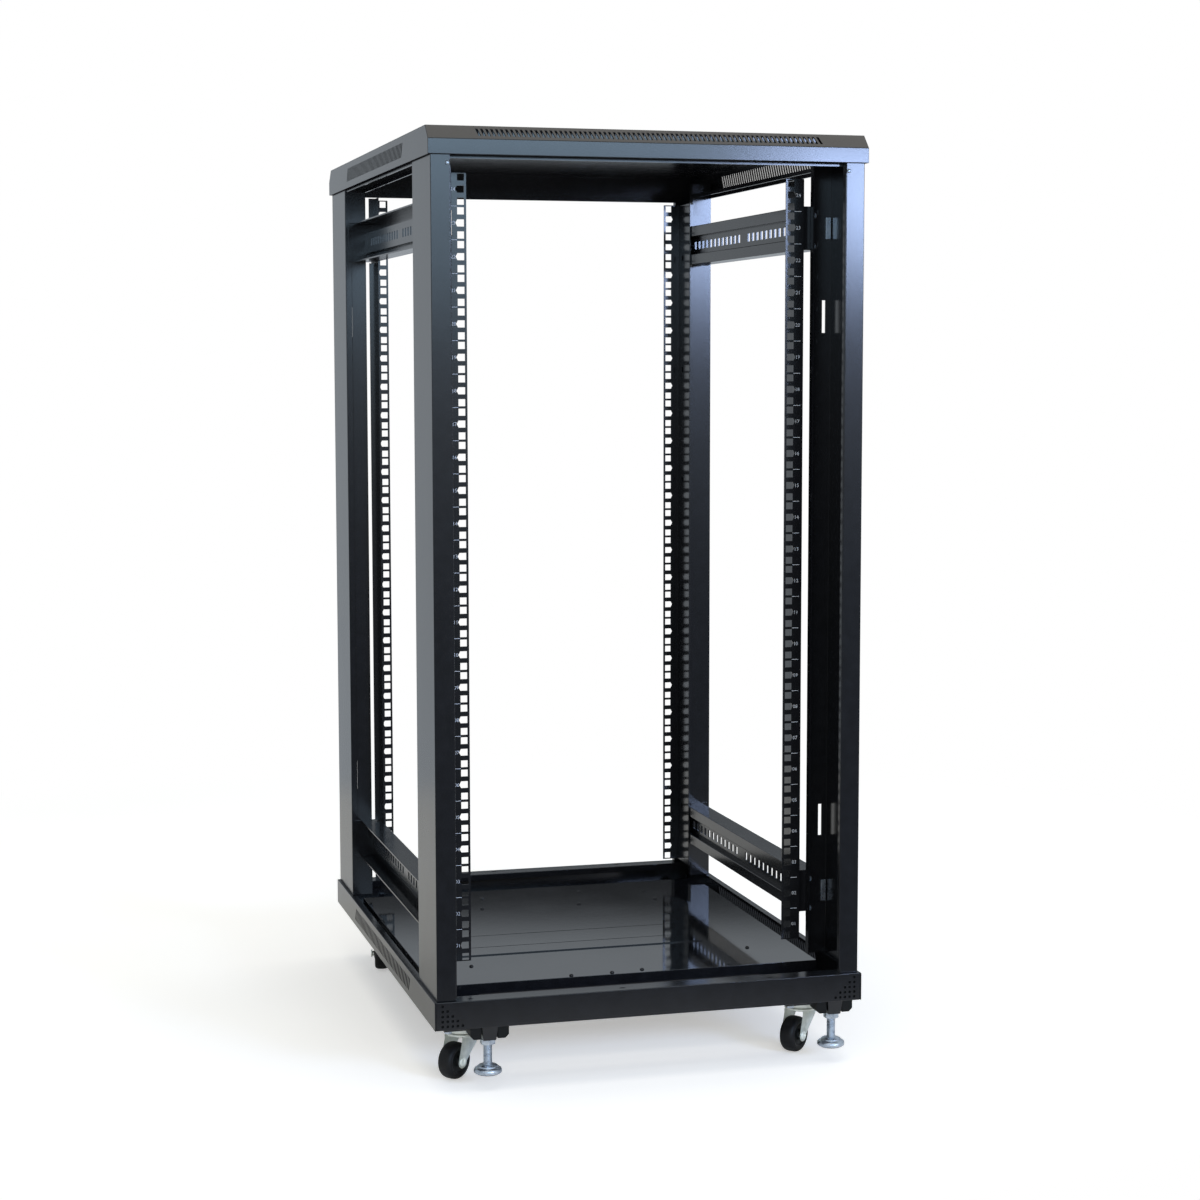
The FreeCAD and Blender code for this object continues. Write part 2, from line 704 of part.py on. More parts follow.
def make_caster_mount(label, across, back):
    """Riser channel, top plate, ball race and kingpin of one caster."""
    body = new_body(label)
    half = "(mount_width / 2)"
    riser = new_sketch(body, "riser_section", "XZ", "0")
    draw_loops(riser, [[
        ("-" + half, "plate_top"),
        ("-" + half, "caster_height"),
        (half, "caster_height"),
        (half, "plate_top"),
        (half + " - mount_sheet", "plate_top"),
        (half + " - mount_sheet", "caster_height - mount_sheet"),
        ("-" + half + " + mount_sheet", "caster_height - mount_sheet"),
        ("-" + half + " + mount_sheet", "plate_top"),
    ]])
    pad(body, "riser", riser, "mount_width", symmetric=True)
    plate = new_sketch(body, "plate_outline", "XY", PLATE_BOTTOM)
    draw_loops(plate, [box_loop("-" + half, "-" + half, half, half)])
    pad(body, "plate", plate, "plate_sheet")
    head_top = "(" + CROWN_BOTTOM + " - race_clearance)"
    turn_profile(body, "race_and_kingpin", "XZ", "Z", [
        ("0", "plate_top"),
        ("race_radius", "plate_top"),
        ("race_radius - race_taper", "crown_top + race_clearance"),
        ("kingpin_radius", "crown_top + race_clearance"),
        ("kingpin_radius", head_top),
        ("kingpin_head", head_top),
        ("kingpin_head", head_top + " - plate_sheet"),
        ("0", head_top + " - plate_sheet"),
    ])
    place(body, across, back, "0")


def make_fork(label, across, back, turn):
    """Swivel fork: round crown, two tapered cheeks and the axle bolt with its heads."""
    body = new_body(label)
    cheek = new_sketch(body, "cheek_outline", "YZ", "0")
    draw_loops(cheek, [[
        ("-crown_radius + fork_sheet", "crown_top"),
        ("crown_radius - fork_sheet", "crown_top"),
        ("crown_radius - fork_sheet", CROWN_BOTTOM + " - fork_sheet"),
        ("-wheel_trail + fork_boss", "wheel_radius"),
        ("-wheel_trail - fork_boss", "wheel_radius"),
        ("-crown_radius + fork_sheet", CROWN_BOTTOM + " - fork_sheet"),
    ]])
    pad(body, "cheeks", cheek, "fork_gap + 2 * fork_sheet", symmetric=True)
    boss = new_sketch(body, "boss_outline", "YZ", "0")
    draw_circles(boss, [("-wheel_trail", "wheel_radius", "fork_boss")])
    pad(body, "bosses", boss, "fork_gap + 2 * fork_sheet", symmetric=True)
    heads = new_sketch(body, "bolt_head_outline", "YZ", "0")
    draw_loops(heads, [hexagon("axle_head_across", "-wheel_trail", "wheel_radius")])
    pad(body, "bolt_heads", heads, "fork_gap + 2 * fork_sheet + 2 * axle_head", symmetric=True)
    crown = new_sketch(body, "crown_outline", "XY", CROWN_BOTTOM)
    draw_circles(crown, [("0", "0", "crown_radius")])
    pad(body, "crown", crown, "crown_sheet")
    gap = new_sketch(body, "wheel_gap_outline", "XZ", "0")
    draw_loops(gap, [box_loop("-fork_gap / 2", "0", "fork_gap / 2", CROWN_BOTTOM)])
    pocket(body, "wheel_gap", gap, symmetric=True)
    axle = new_sketch(body, "axle_outline", "YZ", "0")
    draw_circles(axle, [("-wheel_trail", "wheel_radius", "axle_radius")])
    pad(body, "axle", axle, "fork_gap + 2 * fork_sheet", symmetric=True)
    bore = new_sketch(body, "kingpin_hole_outline", "XY", "crown_top")
    draw_circles(bore, [("0", "0", "kingpin_radius + bearing_clearance")])
    pocket(body, "kingpin_hole", bore, "crown_sheet")
    place(body, across, back, "0", turn)


def make_wheel(label, across, back, turn):
    """Caster wheel: tread with broken shoulders, sides that fall back to a hub."""
    body = new_body(label)
    bore = "(axle_radius + bearing_clearance)"
    tread = "(wheel_width / 2 - tread_shoulder)"
    shoulder = "(wheel_radius - tread_shoulder)"
    right = [
        ("hub_width / 2", bore),
        ("hub_width / 2", "hub_radius"),
        ("wheel_width / 2", shoulder),
        (tread, "wheel_radius"),
    ]
    left = [("-" + along, out) for along, out in reversed(right)]
    turn_profile(body, "wheel", "XY", "X", right + left)
    reach = " + wheel_trail * sin(%g)" % turn
    fall = " - wheel_trail * cos(%g)" % turn
    place(body, across + reach, back + fall, "wheel_radius", turn)


def make_foot_bracket(label, across, back):
    """Bracket under the base beam with two lugs and a weld nut for the foot's stud."""
    body = new_body(label)
    low = "(caster_height - bracket_height)"
    half = "(bracket_width / 2)"
    arm = new_sketch(body, "arm_outline", "XZ", "0")
    draw_loops(arm, [box_loop("-" + half, low + " + lug_step", half, "caster_height")])
    pad(body, "arms", arm, "bracket_depth", symmetric=True)
    boss = new_sketch(body, "boss_outline", "XZ", "0")
    draw_loops(boss, [box_loop("-boss_width / 2", low, "boss_width / 2", "caster_height")])
    pad(body, "boss", boss, "boss_depth", symmetric=True)
    nut = new_sketch(body, "nut_outline", "XY", low)
    draw_loops(nut, [hexagon("nut_across", "0", "0")])
    pad(body, "weld_nut", nut, "nut_height", flip=True)
    bore = new_sketch(body, "stud_bore_outline", "XY", "caster_height")
    draw_circles(bore, [("0", "0", "stud_radius + bearing_clearance")])
    pocket(body, "stud_bore", bore, "bracket_height + nut_height")
    place(body, across, back, "0")


def make_foot(label, across, back):
    """Levelling foot: round pad with a domed top and its threaded stud."""
    body = new_body(label)
    turn_profile(body, "foot", "XZ", "Z", [
        ("0", "foot_lift"),
        ("pad_radius", "foot_lift"),
        ("pad_radius", "foot_lift + pad_rim"),
        ("stud_radius + pad_neck", "foot_lift + pad_height"),
        ("stud_radius", "foot_lift + pad_height"),
        ("stud_radius", "stud_top"),
        ("0", "stud_top"),
    ])
    place(body, across, back, "0")


# Corner name, side sign, end sign and the direction in which the caster trails.
CORNERS = (
    ("front_left", "-", "-", -50),
    ("front_right", "", "-", -50),
    ("rear_left", "-", "", -10),
    ("rear_right", "", "", -50),
)


def make_corners():
    for corner, side, end, turn in CORNERS:
        across = "(%s%s)" % (side, SWIVEL_SIDE)
        back = "(%s(frame_depth / 2 - swivel_setback))" % end
        foot_across = "(%s + foot_sideways)" % across
        foot_back = "(%s(frame_depth / 2 - swivel_setback + foot_forward))" % end
        make_caster_mount("caster_mount_" + corner, across, back)
        make_fork("caster_fork_" + corner, across, back, turn)
        make_wheel("caster_wheel_" + corner, across, back, turn)
        make_foot_bracket("foot_bracket_" + corner, foot_across, foot_back)
        make_foot("levelling_foot_" + corner, foot_across, foot_back)


make_base_side()
make_base_beam()
make_floor()
make_posts()
make_rail("mounting_rail_front_left", "-", True)
make_rail("mounting_rail_front_right", "", False)
make_channel("lower_depth_channel", CHANNEL_UNITS[0])
make_channel("upper_depth_channel", CHANNEL_UNITS[1])
make_top_beams()
make_cover()
make_corners()
doc.recompute()

for item in doc.Objects:
    if "Invalid" in item.State or "Error" in item.State:
        raise RuntimeError(item.Label + " failed to build")
for label, item in nodes.items():
    if item.Shape.isNull() or not item.Shape.isValid():
        raise RuntimeError(label + " has no valid shape")
for label, item in nodes.items():
    item.Shape.exportStep(os.path.join("parts", label + ".step"))
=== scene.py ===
import math

import bmesh
import bpy
from bpy.props import FloatProperty, FloatVectorProperty, IntProperty, PointerProperty
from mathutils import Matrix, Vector


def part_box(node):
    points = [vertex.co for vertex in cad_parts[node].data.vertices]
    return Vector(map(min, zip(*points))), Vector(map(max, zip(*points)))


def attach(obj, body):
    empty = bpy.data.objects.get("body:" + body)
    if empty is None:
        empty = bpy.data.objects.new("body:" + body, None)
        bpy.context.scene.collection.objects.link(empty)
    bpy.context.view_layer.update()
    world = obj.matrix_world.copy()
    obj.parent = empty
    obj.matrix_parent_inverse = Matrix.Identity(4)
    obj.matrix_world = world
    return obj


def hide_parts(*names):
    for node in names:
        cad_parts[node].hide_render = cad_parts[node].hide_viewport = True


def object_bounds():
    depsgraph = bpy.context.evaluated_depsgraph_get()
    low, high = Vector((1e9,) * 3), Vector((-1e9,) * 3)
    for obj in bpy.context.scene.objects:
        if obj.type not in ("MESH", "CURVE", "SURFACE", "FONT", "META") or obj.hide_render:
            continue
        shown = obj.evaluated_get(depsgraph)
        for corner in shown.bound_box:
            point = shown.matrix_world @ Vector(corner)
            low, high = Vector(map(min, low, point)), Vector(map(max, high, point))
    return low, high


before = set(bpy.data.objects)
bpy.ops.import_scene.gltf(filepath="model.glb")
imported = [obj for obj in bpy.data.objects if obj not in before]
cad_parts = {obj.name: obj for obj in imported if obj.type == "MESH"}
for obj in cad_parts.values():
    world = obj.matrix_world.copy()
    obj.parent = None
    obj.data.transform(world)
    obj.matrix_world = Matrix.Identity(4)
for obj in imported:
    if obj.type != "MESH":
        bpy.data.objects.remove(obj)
CAD_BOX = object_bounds()

bl_info = {
    "name": "Open frame rack",
    "version": (1, 0, 0),
    "blender": (4, 5, 0),
    "location": "View3D > Sidebar > Rack",
    "description": "Dresses a four post open frame rack: sheet metal, markings, casters and feet",
    "category": "Object",
}

CORNERS = ("front_left", "front_right", "rear_left", "rear_right")
UNIT = 0.04445
UNITS = 24
SHEET = 0.002
THIN_SHEET = 0.0015


def linear(code):
    """An sRGB hex colour as linear red, green, blue and alpha."""
    parts = [int(code[place:place + 2], 16) / 255 for place in (0, 2, 4)]
    return tuple(part / 12.92 if part <= 0.04045 else ((part + 0.055) / 1.055) ** 2.4 for part in parts) + (1.0,)


def per_metre(millimetres):
    """Pattern scale on object coordinates for a feature of this size."""
    return 1000.0 / millimetres


# ---------------------------------------------------------------- settings


def metres(name, description, default, least=0.001):
    """A length in metres that the panel shows."""
    return FloatProperty(name=name, description=description, default=default, min=least, unit="LENGTH")


def swatch(name, description, code):
    """A colour that the panel shows, from an sRGB hex code."""
    return FloatVectorProperty(name=name, description=description, default=linear(code)[:3],
                               subtype="COLOR", min=0, max=1)


class RackSheetSettings(bpy.types.PropertyGroup):
    fold_radius: metres("Fold radius", "Outside radius of the folds of the sheet", 0.0022, 0.0001)
    inner_radius: metres("Inner radius", "Inside radius of the folds of the sheet", 0.0005, 0.0001)
    dot_pitch: metres("Dot pitch", "Spacing of the punched dots at the ends of the front beam", 0.0068, 0.004)
    dot_radius: metres("Dot radius", "Radius of a punched dot", 0.0019, 0.0005)


class RackGrilleSettings(bpy.types.PropertyGroup):
    side_pitch: metres("Side slot pitch", "Spacing of the leaning slots in the side walls", 0.010, 0.004)
    side_slot: metres("Side slot width", "Width of a leaning slot", 0.0052)
    side_height: metres("Side slot height", "Height of a leaning slot", 0.0190, 0.004)
    side_lean: FloatProperty(
        name="Side slot lean", description="How far a slot leans from upright",
        default=math.radians(30), subtype="ANGLE")
    side_count: IntProperty(name="Side slots", description="Slots in a side wall", default=45, min=3)
    roof_pitch: metres("Roof slot pitch", "Spacing of the slots in the roof's bevelled edges", 0.00655, 0.003)
    roof_slot: metres("Roof slot width", "Width of a slot in the roof's bevelled edges", 0.0035)
    roof_lean: metres("Roof slot lean", "How far the two ends of a roof slot are set sideways", -0.0030, -0.01)
    roof_count: IntProperty(name="Roof slots", description="Slots in a bevelled edge", default=72, min=3)


class RackMarkingSettings(bpy.types.PropertyGroup):
    number_size: metres("Number size", "Type size of the unit numbers", 0.0070)
    tick_width: metres("Tick thickness", "Thickness of the line between two units", 0.0007, 0.0001)
    ink: swatch("Ink", "Colour of the printed numbers and lines", "c6ccd6")


class RackFinishSettings(bpy.types.PropertyGroup):
    coat: swatch("Powder coat", "Colour of the powder coated steel", "121316")
    zinc: swatch("Zinc plate", "Brightest tone of the zinc plated studs, nuts and screws", "cfd8e2")
    chromate: swatch("Chromate", "Brightest tone of the pale chromated caster forks", "f2f6f0")
    tyre: swatch("Tyre", "Brightest tone of the polyurethane tyres", "111112")
    nylon: swatch("Nylon blocks", "Colour of the moulded blocks over the feet", "070808")


class RackStageSettings(bpy.types.PropertyGroup):
    floor: swatch("Floor", "Colour of the studio floor", "fbf7f0")
    lens: FloatProperty(
        name="Lens", description="Focal length of the camera in millimetres on a 36 mm sensor",
        default=72.36, min=10)


# ---------------------------------------------------------------- materials


def add_node(tree, kind, links=None, **settings):
    """Add a node; settings name its properties or input sockets, links feed its sockets."""
    node = tree.nodes.new(kind)
    for name, value in settings.items():
        if hasattr(node, name):
            setattr(node, name, value)
        else:
            node.inputs[name.replace("_", " ")].default_value = value
    for name, source in (links or {}).items():
        tree.links.new(source, node.inputs[name])
    return node


def new_material(name, colour, metallic, roughness, gloss=0.5):
    """A material with its shader, ready for its patterns."""
    material = bpy.data.materials.new(name)
    material.use_nodes = True
    tree = material.node_tree
    shader = tree.nodes["Principled BSDF"]
    shader.inputs["Base Color"].default_value = (*colour, 1.0)
    shader.inputs["Metallic"].default_value = metallic
    shader.inputs["Specular IOR Level"].default_value = gloss
    shader.inputs["Roughness"].default_value = roughness
    where = add_node(tree, "ShaderNodeTexCoord").outputs["Object"]
    return material, tree, shader, where


def sprayed_coat(name, colour, roughness, peel, cloud, depth=0.00004):
    """Electrostatic powder coat baked on steel: thin satin plastic skin with a faint orange peel."""
    material, tree, shader, where = new_material(name, colour, 0.0, roughness)
    shader.inputs["IOR"].default_value = 1.5
    # Powder lies a little thicker in places: clouds about 90 mm wide in gloss and depth of colour.
    clouds = add_node(tree, "ShaderNodeTexNoise", {"Vector": where}, Scale=per_metre(90), Detail=3.0)
    gloss = add_node(tree, "ShaderNodeMapRange", {"Value": clouds.outputs["Fac"]},
                     To_Min=roughness - cloud, To_Max=roughness + cloud)
    tree.links.new(gloss.outputs["Result"], shader.inputs["Roughness"])
    dust = add_node(tree, "ShaderNodeTexNoise", {"Vector": where}, Scale=per_metre(14), Detail=5.0)
    specks = add_node(tree, "ShaderNodeMapRange", {"Value": dust.outputs["Fac"]},
                      From_Min=0.35, From_Max=0.75, To_Min=0.85, To_Max=1.25)
    tint = add_node(tree, "ShaderNodeMix", {7: specks.outputs["Result"]},
                    data_type="RGBA", blend_type="MULTIPLY", Factor=1.0)
    tint.inputs[6].default_value = (*colour, 1.0)
    tree.links.new(tint.outputs[2], shader.inputs["Base Color"])
    # Real orange peel is about 1 mm across; it is drawn at this coarser size so that it can show.
    skin = add_node(tree, "ShaderNodeTexNoise", {"Vector": where}, Scale=per_metre(peel), Detail=2.0)
    bump = add_node(tree, "ShaderNodeBump", {"Height": skin.outputs["Fac"]}, Strength=0.25, Distance=depth)
    tree.links.new(bump.outputs["Normal"], shader.inputs["Normal"])
    return material


def powder_coat(scene):
    """Satin black powder coat, the finish of all the folded sheet."""
    return sprayed_coat("black_powder_coat", scene.rack_finish.coat, 0.17, 3.0, 0.02)


def floor_enamel(scene):
    """Smoother black stoved coat of the flat floor plate, which mirrors more than the folded sheet."""
    return sprayed_coat("black_stoved_enamel", scene.rack_finish.coat, 0.06, 6.0, 0.015, 0.00003)


def zinc_coat(name, pale, dark, metallic, smooth, dull):
    """Zinc plate on steel: cloudy spangle in gloss and tone over a fine grain."""
    material, tree, shader, where = new_material(name, pale, metallic, smooth)
    clouds = add_node(tree, "ShaderNodeTexNoise", {"Vector": where}, Scale=per_metre(8), Detail=4.0)
    gloss = add_node(tree, "ShaderNodeMapRange", {"Value": clouds.outputs["Fac"]}, To_Min=smooth, To_Max=dull)
    tree.links.new(gloss.outputs["Result"], shader.inputs["Roughness"])
    ramp = add_node(tree, "ShaderNodeValToRGB", {"Fac": clouds.outputs["Fac"]})
    for stop, place, tone in zip(ramp.color_ramp.elements, (0.3, 0.7), (linear(dark), (*pale, 1.0))):
        stop.position = place
        stop.color = tone
    tree.links.new(ramp.outputs["Color"], shader.inputs["Base Color"])
    grain = add_node(tree, "ShaderNodeTexNoise", {"Vector": where}, Scale=per_metre(1.5), Detail=2.0)
    bump = add_node(tree, "ShaderNodeBump", {"Height": grain.outputs["Fac"]}, Strength=0.2, Distance=0.00005)
    tree.links.new(bump.outputs["Normal"], shader.inputs["Normal"])
    return material


def pale_zinc(scene):
    """Pressed caster forks: zinc under a pale chromate skin, which scatters much of the light."""
    return zinc_coat("chromated_zinc_plate", scene.rack_finish.chromate, "d3dad4", 0.35, 0.34, 0.50)


def bright_zinc(scene):
    """Studs, feet, nuts and screws: bright zinc that mirrors its surroundings softly."""
    return zinc_coat("bright_zinc_plate", scene.rack_finish.zinc, "a3aebb", 0.9, 0.22, 0.34)


def tyre_polyurethane(scene):
    """Moulded black polyurethane: dull tread with a fine scuff."""
    material, tree, shader, where = new_material("black_polyurethane", scene.rack_finish.tyre, 0.0, 0.5, 0.3)
    scuff = add_node(tree, "ShaderNodeTexNoise", {"Vector": where}, Scale=per_metre(5), Detail=6.0)
    gloss = add_node(tree, "ShaderNodeMapRange", {"Value": scuff.outputs["Fac"]}, To_Min=0.36, To_Max=0.62)
    tree.links.new(gloss.outputs["Result"], shader.inputs["Roughness"])
    ramp = add_node(tree, "ShaderNodeValToRGB", {"Fac": scuff.outputs["Fac"]})
    ramp.color_ramp.elements[0].color = linear("060607")
    ramp.color_ramp.elements[1].color = (*scene.rack_finish.tyre, 1.0)
    tree.links.new(ramp.outputs["Color"], shader.inputs["Base Color"])
    bump = add_node(tree, "ShaderNodeBump", {"Height": scuff.outputs["Fac"]}, Strength=0.3, Distance=0.0001)
    tree.links.new(bump.outputs["Normal"], shader.inputs["Normal"])
    return material


def glass_filled_nylon(scene):
    """Moulded glass filled nylon: matt black with a fine spark grain."""
    material, tree, shader, where = new_material("glass_filled_nylon", scene.rack_finish.nylon, 0.0, 0.45, 0.25)
    grain = add_node(tree, "ShaderNodeTexNoise", {"Vector": where}, Scale=per_metre(1.6), Detail=3.0)
    gloss = add_node(tree, "ShaderNodeMapRange", {"Value": grain.outputs["Fac"]}, To_Min=0.36, To_Max=0.55)
    tree.links.new(gloss.outputs["Result"], shader.inputs["Roughness"])
    bump = add_node(tree, "ShaderNodeBump", {"Height": grain.outputs["Fac"]}, Strength=0.5, Distance=0.0001)
    tree.links.new(bump.outputs["Normal"], shader.inputs["Normal"])
    return material


def screen_ink(scene):
    """Screen printed pale ink, a little broken where the print is thin."""
    material, tree, shader, where = new_material("screen_printed_ink", scene.rack_markings.ink, 0.0, 0.55)
    thin = add_node(tree, "ShaderNodeTexNoise", {"Vector": where}, Scale=per_metre(1.2), Detail=2.0)
    ramp = add_node(tree, "ShaderNodeValToRGB", {"Fac": thin.outputs["Fac"]})
    ramp.color_ramp.elements[0].color = linear("8d939d")
    ramp.color_ramp.elements[1].color = (*scene.rack_markings.ink, 1.0)
    tree.links.new(ramp.outputs["Color"], shader.inputs["Base Color"])
    return material


# Each finish: the function that makes it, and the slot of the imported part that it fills.
MAKERS = {
    "coat": (powder_coat, "black_powder_coat"),
    "enamel": (floor_enamel, "gloss_black_sheet"),
    "pale_zinc": (pale_zinc, "zinc_plate"),
    "zinc": (bright_zinc, "zinc_plate"),
    "tyre": (tyre_polyurethane, "black_tyre"),
    "nylon": (glass_filled_nylon, "black_plastic"),
    "ink": (screen_ink, "black_powder_coat"),
}
made = {}


def material(key):
    """The material of a finish, made when it is first asked for."""
    if key not in made:
        made[key] = MAKERS[key][0](bpy.context.scene)
    return made[key]


# ---------------------------------------------------------------- modelling helpers


def pick(piece):
    """Make one piece the only selected and the active object."""
    for item in bpy.context.selected_objects:
        item.select_set(False)
    piece.select_set(True)
    bpy.context.view_layer.objects.active = piece


def edit(piece):
    """Edit mode on this piece alone."""
    pick(piece)
    bpy.ops.object.mode_set(mode="EDIT")


def leave_edit():
    """Back to object mode."""
    bpy.ops.object.mode_set(mode="OBJECT")


def choose(piece, kind, test):
    """In edit mode, select the corners, edges or faces that pass a test. Returns how many."""
    mesh = bmesh.from_edit_mesh(piece.data)
    for item in (*mesh.verts, *mesh.edges, *mesh.faces):
        item.select_set(False)
    mesh.select_mode = {"FACE"} if kind == "faces" else {"EDGE"} if kind == "edges" else {"VERT"}
    bpy.context.tool_settings.mesh_select_mode = (kind == "verts", kind == "edges", kind == "faces")
    found = [item for item in getattr(mesh, kind) if test(item)]
    for item in found:
        item.select_set(True)
    mesh.select_flush_mode()
    bmesh.update_edit_mesh(piece.data)
    return len(found)


def select_all():
    """In edit mode, select the whole mesh."""
    bpy.ops.mesh.select_all(action="SELECT")


def point_outwards():
    """In edit mode, turn all faces outwards."""
    select_all()
    bpy.ops.mesh.normals_make_consistent(inside=False)


def settle(piece):
    """Put the piece's place, turn and size into its mesh."""
    pick(piece)
    bpy.ops.object.transform_apply(location=True, rotation=True, scale=True)


def stand(piece, place, turn=(0, 0, 0)):
    """Put a piece at a place with a turn, for good."""
    piece.location = place
    piece.rotation_euler = turn
    settle(piece)
    return piece


def paint_node(node, key):
    """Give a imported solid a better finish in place."""
    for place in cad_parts[node].material_slots:
        place.material = material(key)


def apply_modifier(piece, kind, **settings):
    """Add a modifier with its settings and apply it."""
    pick(piece)
    modifier = piece.modifiers.new(kind.title(), kind)
    for name, value in settings.items():
        setattr(modifier, name, value)
    bpy.ops.object.modifier_apply(modifier=modifier.name)


def hand_over(piece, name, body, key, *nodes):
    """Name and shade a finished piece, give it its finish and let it ride on its body."""
    piece.name = name
    pick(piece)
    bpy.ops.object.shade_smooth_by_angle(angle=math.radians(35))
    apply_modifier(piece, "WEIGHTED_NORMAL", keep_sharp=True)
    piece.data.materials.clear()
    piece.data.materials.append(material(key))
    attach(piece, body)
    if nodes:
        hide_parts(*nodes)


def copy_of(node, plain=True):
    """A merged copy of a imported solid's mesh as a piece of its own; plain makes its flat faces whole."""
    piece = bpy.data.objects.new("copy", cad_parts[node].data.copy())
    bpy.context.scene.collection.objects.link(piece)
    pick(piece)
    bpy.ops.mesh.customdata_custom_splitnormals_clear()
    edit(piece)
    select_all()
    bpy.ops.mesh.remove_doubles(threshold=0.00001)
    if plain:
        bpy.ops.mesh.dissolve_limited(angle_limit=math.radians(0.5), delimit=set())
    leave_edit()
    return piece


def spread(face, edge):
    """Width of a face across one of its edges."""
    along = (edge.verts[1].co - edge.verts[0].co).normalized()
    across = face.normal.cross(along)
    places = [vert.co.dot(across) for vert in face.verts]
    return max(places) - min(places)


def is_fold(edge, thickness, sign):
    """True for a long edge between two wide faces that turn outwards (1) or inwards (-1)."""
    shortest, least_turn, wide = 0.004, math.radians(20), 1.3 * thickness
    if len(edge.link_faces) != 2 or edge.calc_length() < shortest:
        return False
    if edge.calc_face_angle_signed(0.0) * sign < least_turn:
        return False
    return min(spread(face, edge) for face in edge.link_faces) > wide


def bevel(amount, segments):
    """In edit mode, bevel the chosen edges."""
    bpy.ops.mesh.bevel(offset_type="OFFSET", offset=amount, segments=segments, clamp_overlap=True)


def dress_sheet(piece, thickness=SHEET):
    """Round the folds of a sheet outside and inside."""
    sheet = bpy.context.scene.rack_sheet
    edit(piece)
    if choose(piece, "edges", lambda edge: is_fold(edge, thickness, 1)):
        bevel(sheet.fold_radius, 3)
    if choose(piece, "edges", lambda edge: is_fold(edge, thickness, -1)):
        bevel(sheet.inner_radius, 2)
    leave_edit()
    return piece


# ---------------------------------------------------------------- sheet metal pieces


def cut_with(piece, cutter):
    """Cut a piece with a cutter and throw the cutter away."""
    apply_modifier(piece, "BOOLEAN", operation="DIFFERENCE", object=cutter, solver="EXACT")
    bpy.data.objects.remove(cutter)


def join(pieces):
    """Join pieces into the first of them."""
    pick(pieces[0])
    for piece in pieces[1:]:
        piece.select_set(True)
    bpy.ops.object.join()
    return pieces[0]


def copies(piece, places, turn=(0, 0, 0)):
    """Copies of a piece, each with its own mesh, at places; the piece itself is used up."""
    twins = []
    for place in places:
        twin = piece.copy()
        twin.data = piece.data.copy()
        bpy.context.scene.collection.objects.link(twin)
        twins.append(stand(twin, place, turn))
    bpy.data.objects.remove(piece)
    return twins


def round_cutter(places, radius, axis, stretch=1.0):
    """Short round bars, one at each place, to cut holes with."""
    turn = {"X": (0, math.pi / 2, 0), "Y": (math.pi / 2, 0, 0), "Z": (0, 0, 0)}[axis]
    bpy.ops.mesh.primitive_cylinder_add(vertices=12, radius=radius, depth=0.010)
    bar = bpy.context.active_object
    bar.scale.x = stretch
    settle(bar)
    return join(copies(bar, places, turn))


def turned(steps, segments=32):
    """A turned solid on the Z axis from rings of (radius, height), closed at both ends."""
    radius, height = steps[0]
    bpy.ops.mesh.primitive_circle_add(vertices=segments, radius=radius, fill_type="NGON", location=(0, 0, height))
    piece = bpy.context.active_object
    settle(piece)
    edit(piece)
    select_all()
    for wider, higher in steps[1:]:
        bpy.ops.mesh.extrude_region_move(TRANSFORM_OT_translate={"value": (0, 0, higher - height)})
        if abs(wider - radius) > 1e-7:
            bpy.ops.transform.resize(value=(wider / radius, wider / radius, 1), center_override=(0, 0, higher))
        radius, height = wider, higher
    point_outwards()
    leave_edit()
    return piece


def turned_mm(*steps, segments=32):
    """A turned solid from steps in millimetres."""
    return turned([(radius / 1000, height / 1000) for radius, height in steps], segments)


def break_edges(piece, amount, segments=2, angle=40):
    """Round every edge of a piece that is sharper than an angle."""
    edit(piece)
    choose(piece, "edges", lambda edge: len(edge.link_faces) == 2
           and edge.calc_face_angle(0.0) > math.radians(angle))
    bevel(amount, segments)
    leave_edit()
    return piece


def hexagon(across, low, high, chamfer=0.0006):
    """A hexagon bar with broken edges between two heights."""
    bpy.ops.mesh.primitive_cylinder_add(vertices=6, radius=across / math.sqrt(3), depth=high - low,
                                        location=(0, 0, (low + high) / 2))
    piece = bpy.context.active_object
    settle(piece)
    return break_edges(piece, chamfer)


def block(low, high, edge=0.0008):
    """A block between two corners, with rounded edges unless edge is 0."""
    bpy.ops.mesh.primitive_cube_add(size=1, location=[(a + b) / 2 for a, b in zip(low, high)])
    piece = bpy.context.active_object
    piece.scale = [b - a for a, b in zip(low, high)]
    settle(piece)
    return break_edges(piece, edge, 3) if edge else piece


def row_of(piece, count, step):
    """Repeat a piece along a step."""
    apply_modifier(piece, "ARRAY", count=count, use_relative_offset=False,
                   use_constant_offset=True, constant_offset_displace=step)
    return piece


def screw_head(radius):
    """A pan head screw on the Z axis with a cross recess, seated at height 0."""
    head = turned([(radius, -0.0004), (radius, 0.0006), (radius * 0.93, 0.0012), (radius * 0.72, 0.0019),
                   (radius * 0.4, 0.0023)], 20)
    long, wide = radius * 0.55, radius * 0.1
    driven = 0.5
    for turn in (driven, driven + math.pi / 2):
        slot = block((-long, -wide, 0.0011), (long, wide, 0.004), 0)
        cut_with(head, stand(slot, (0, 0, 0), (0, 0, turn)))
    return head


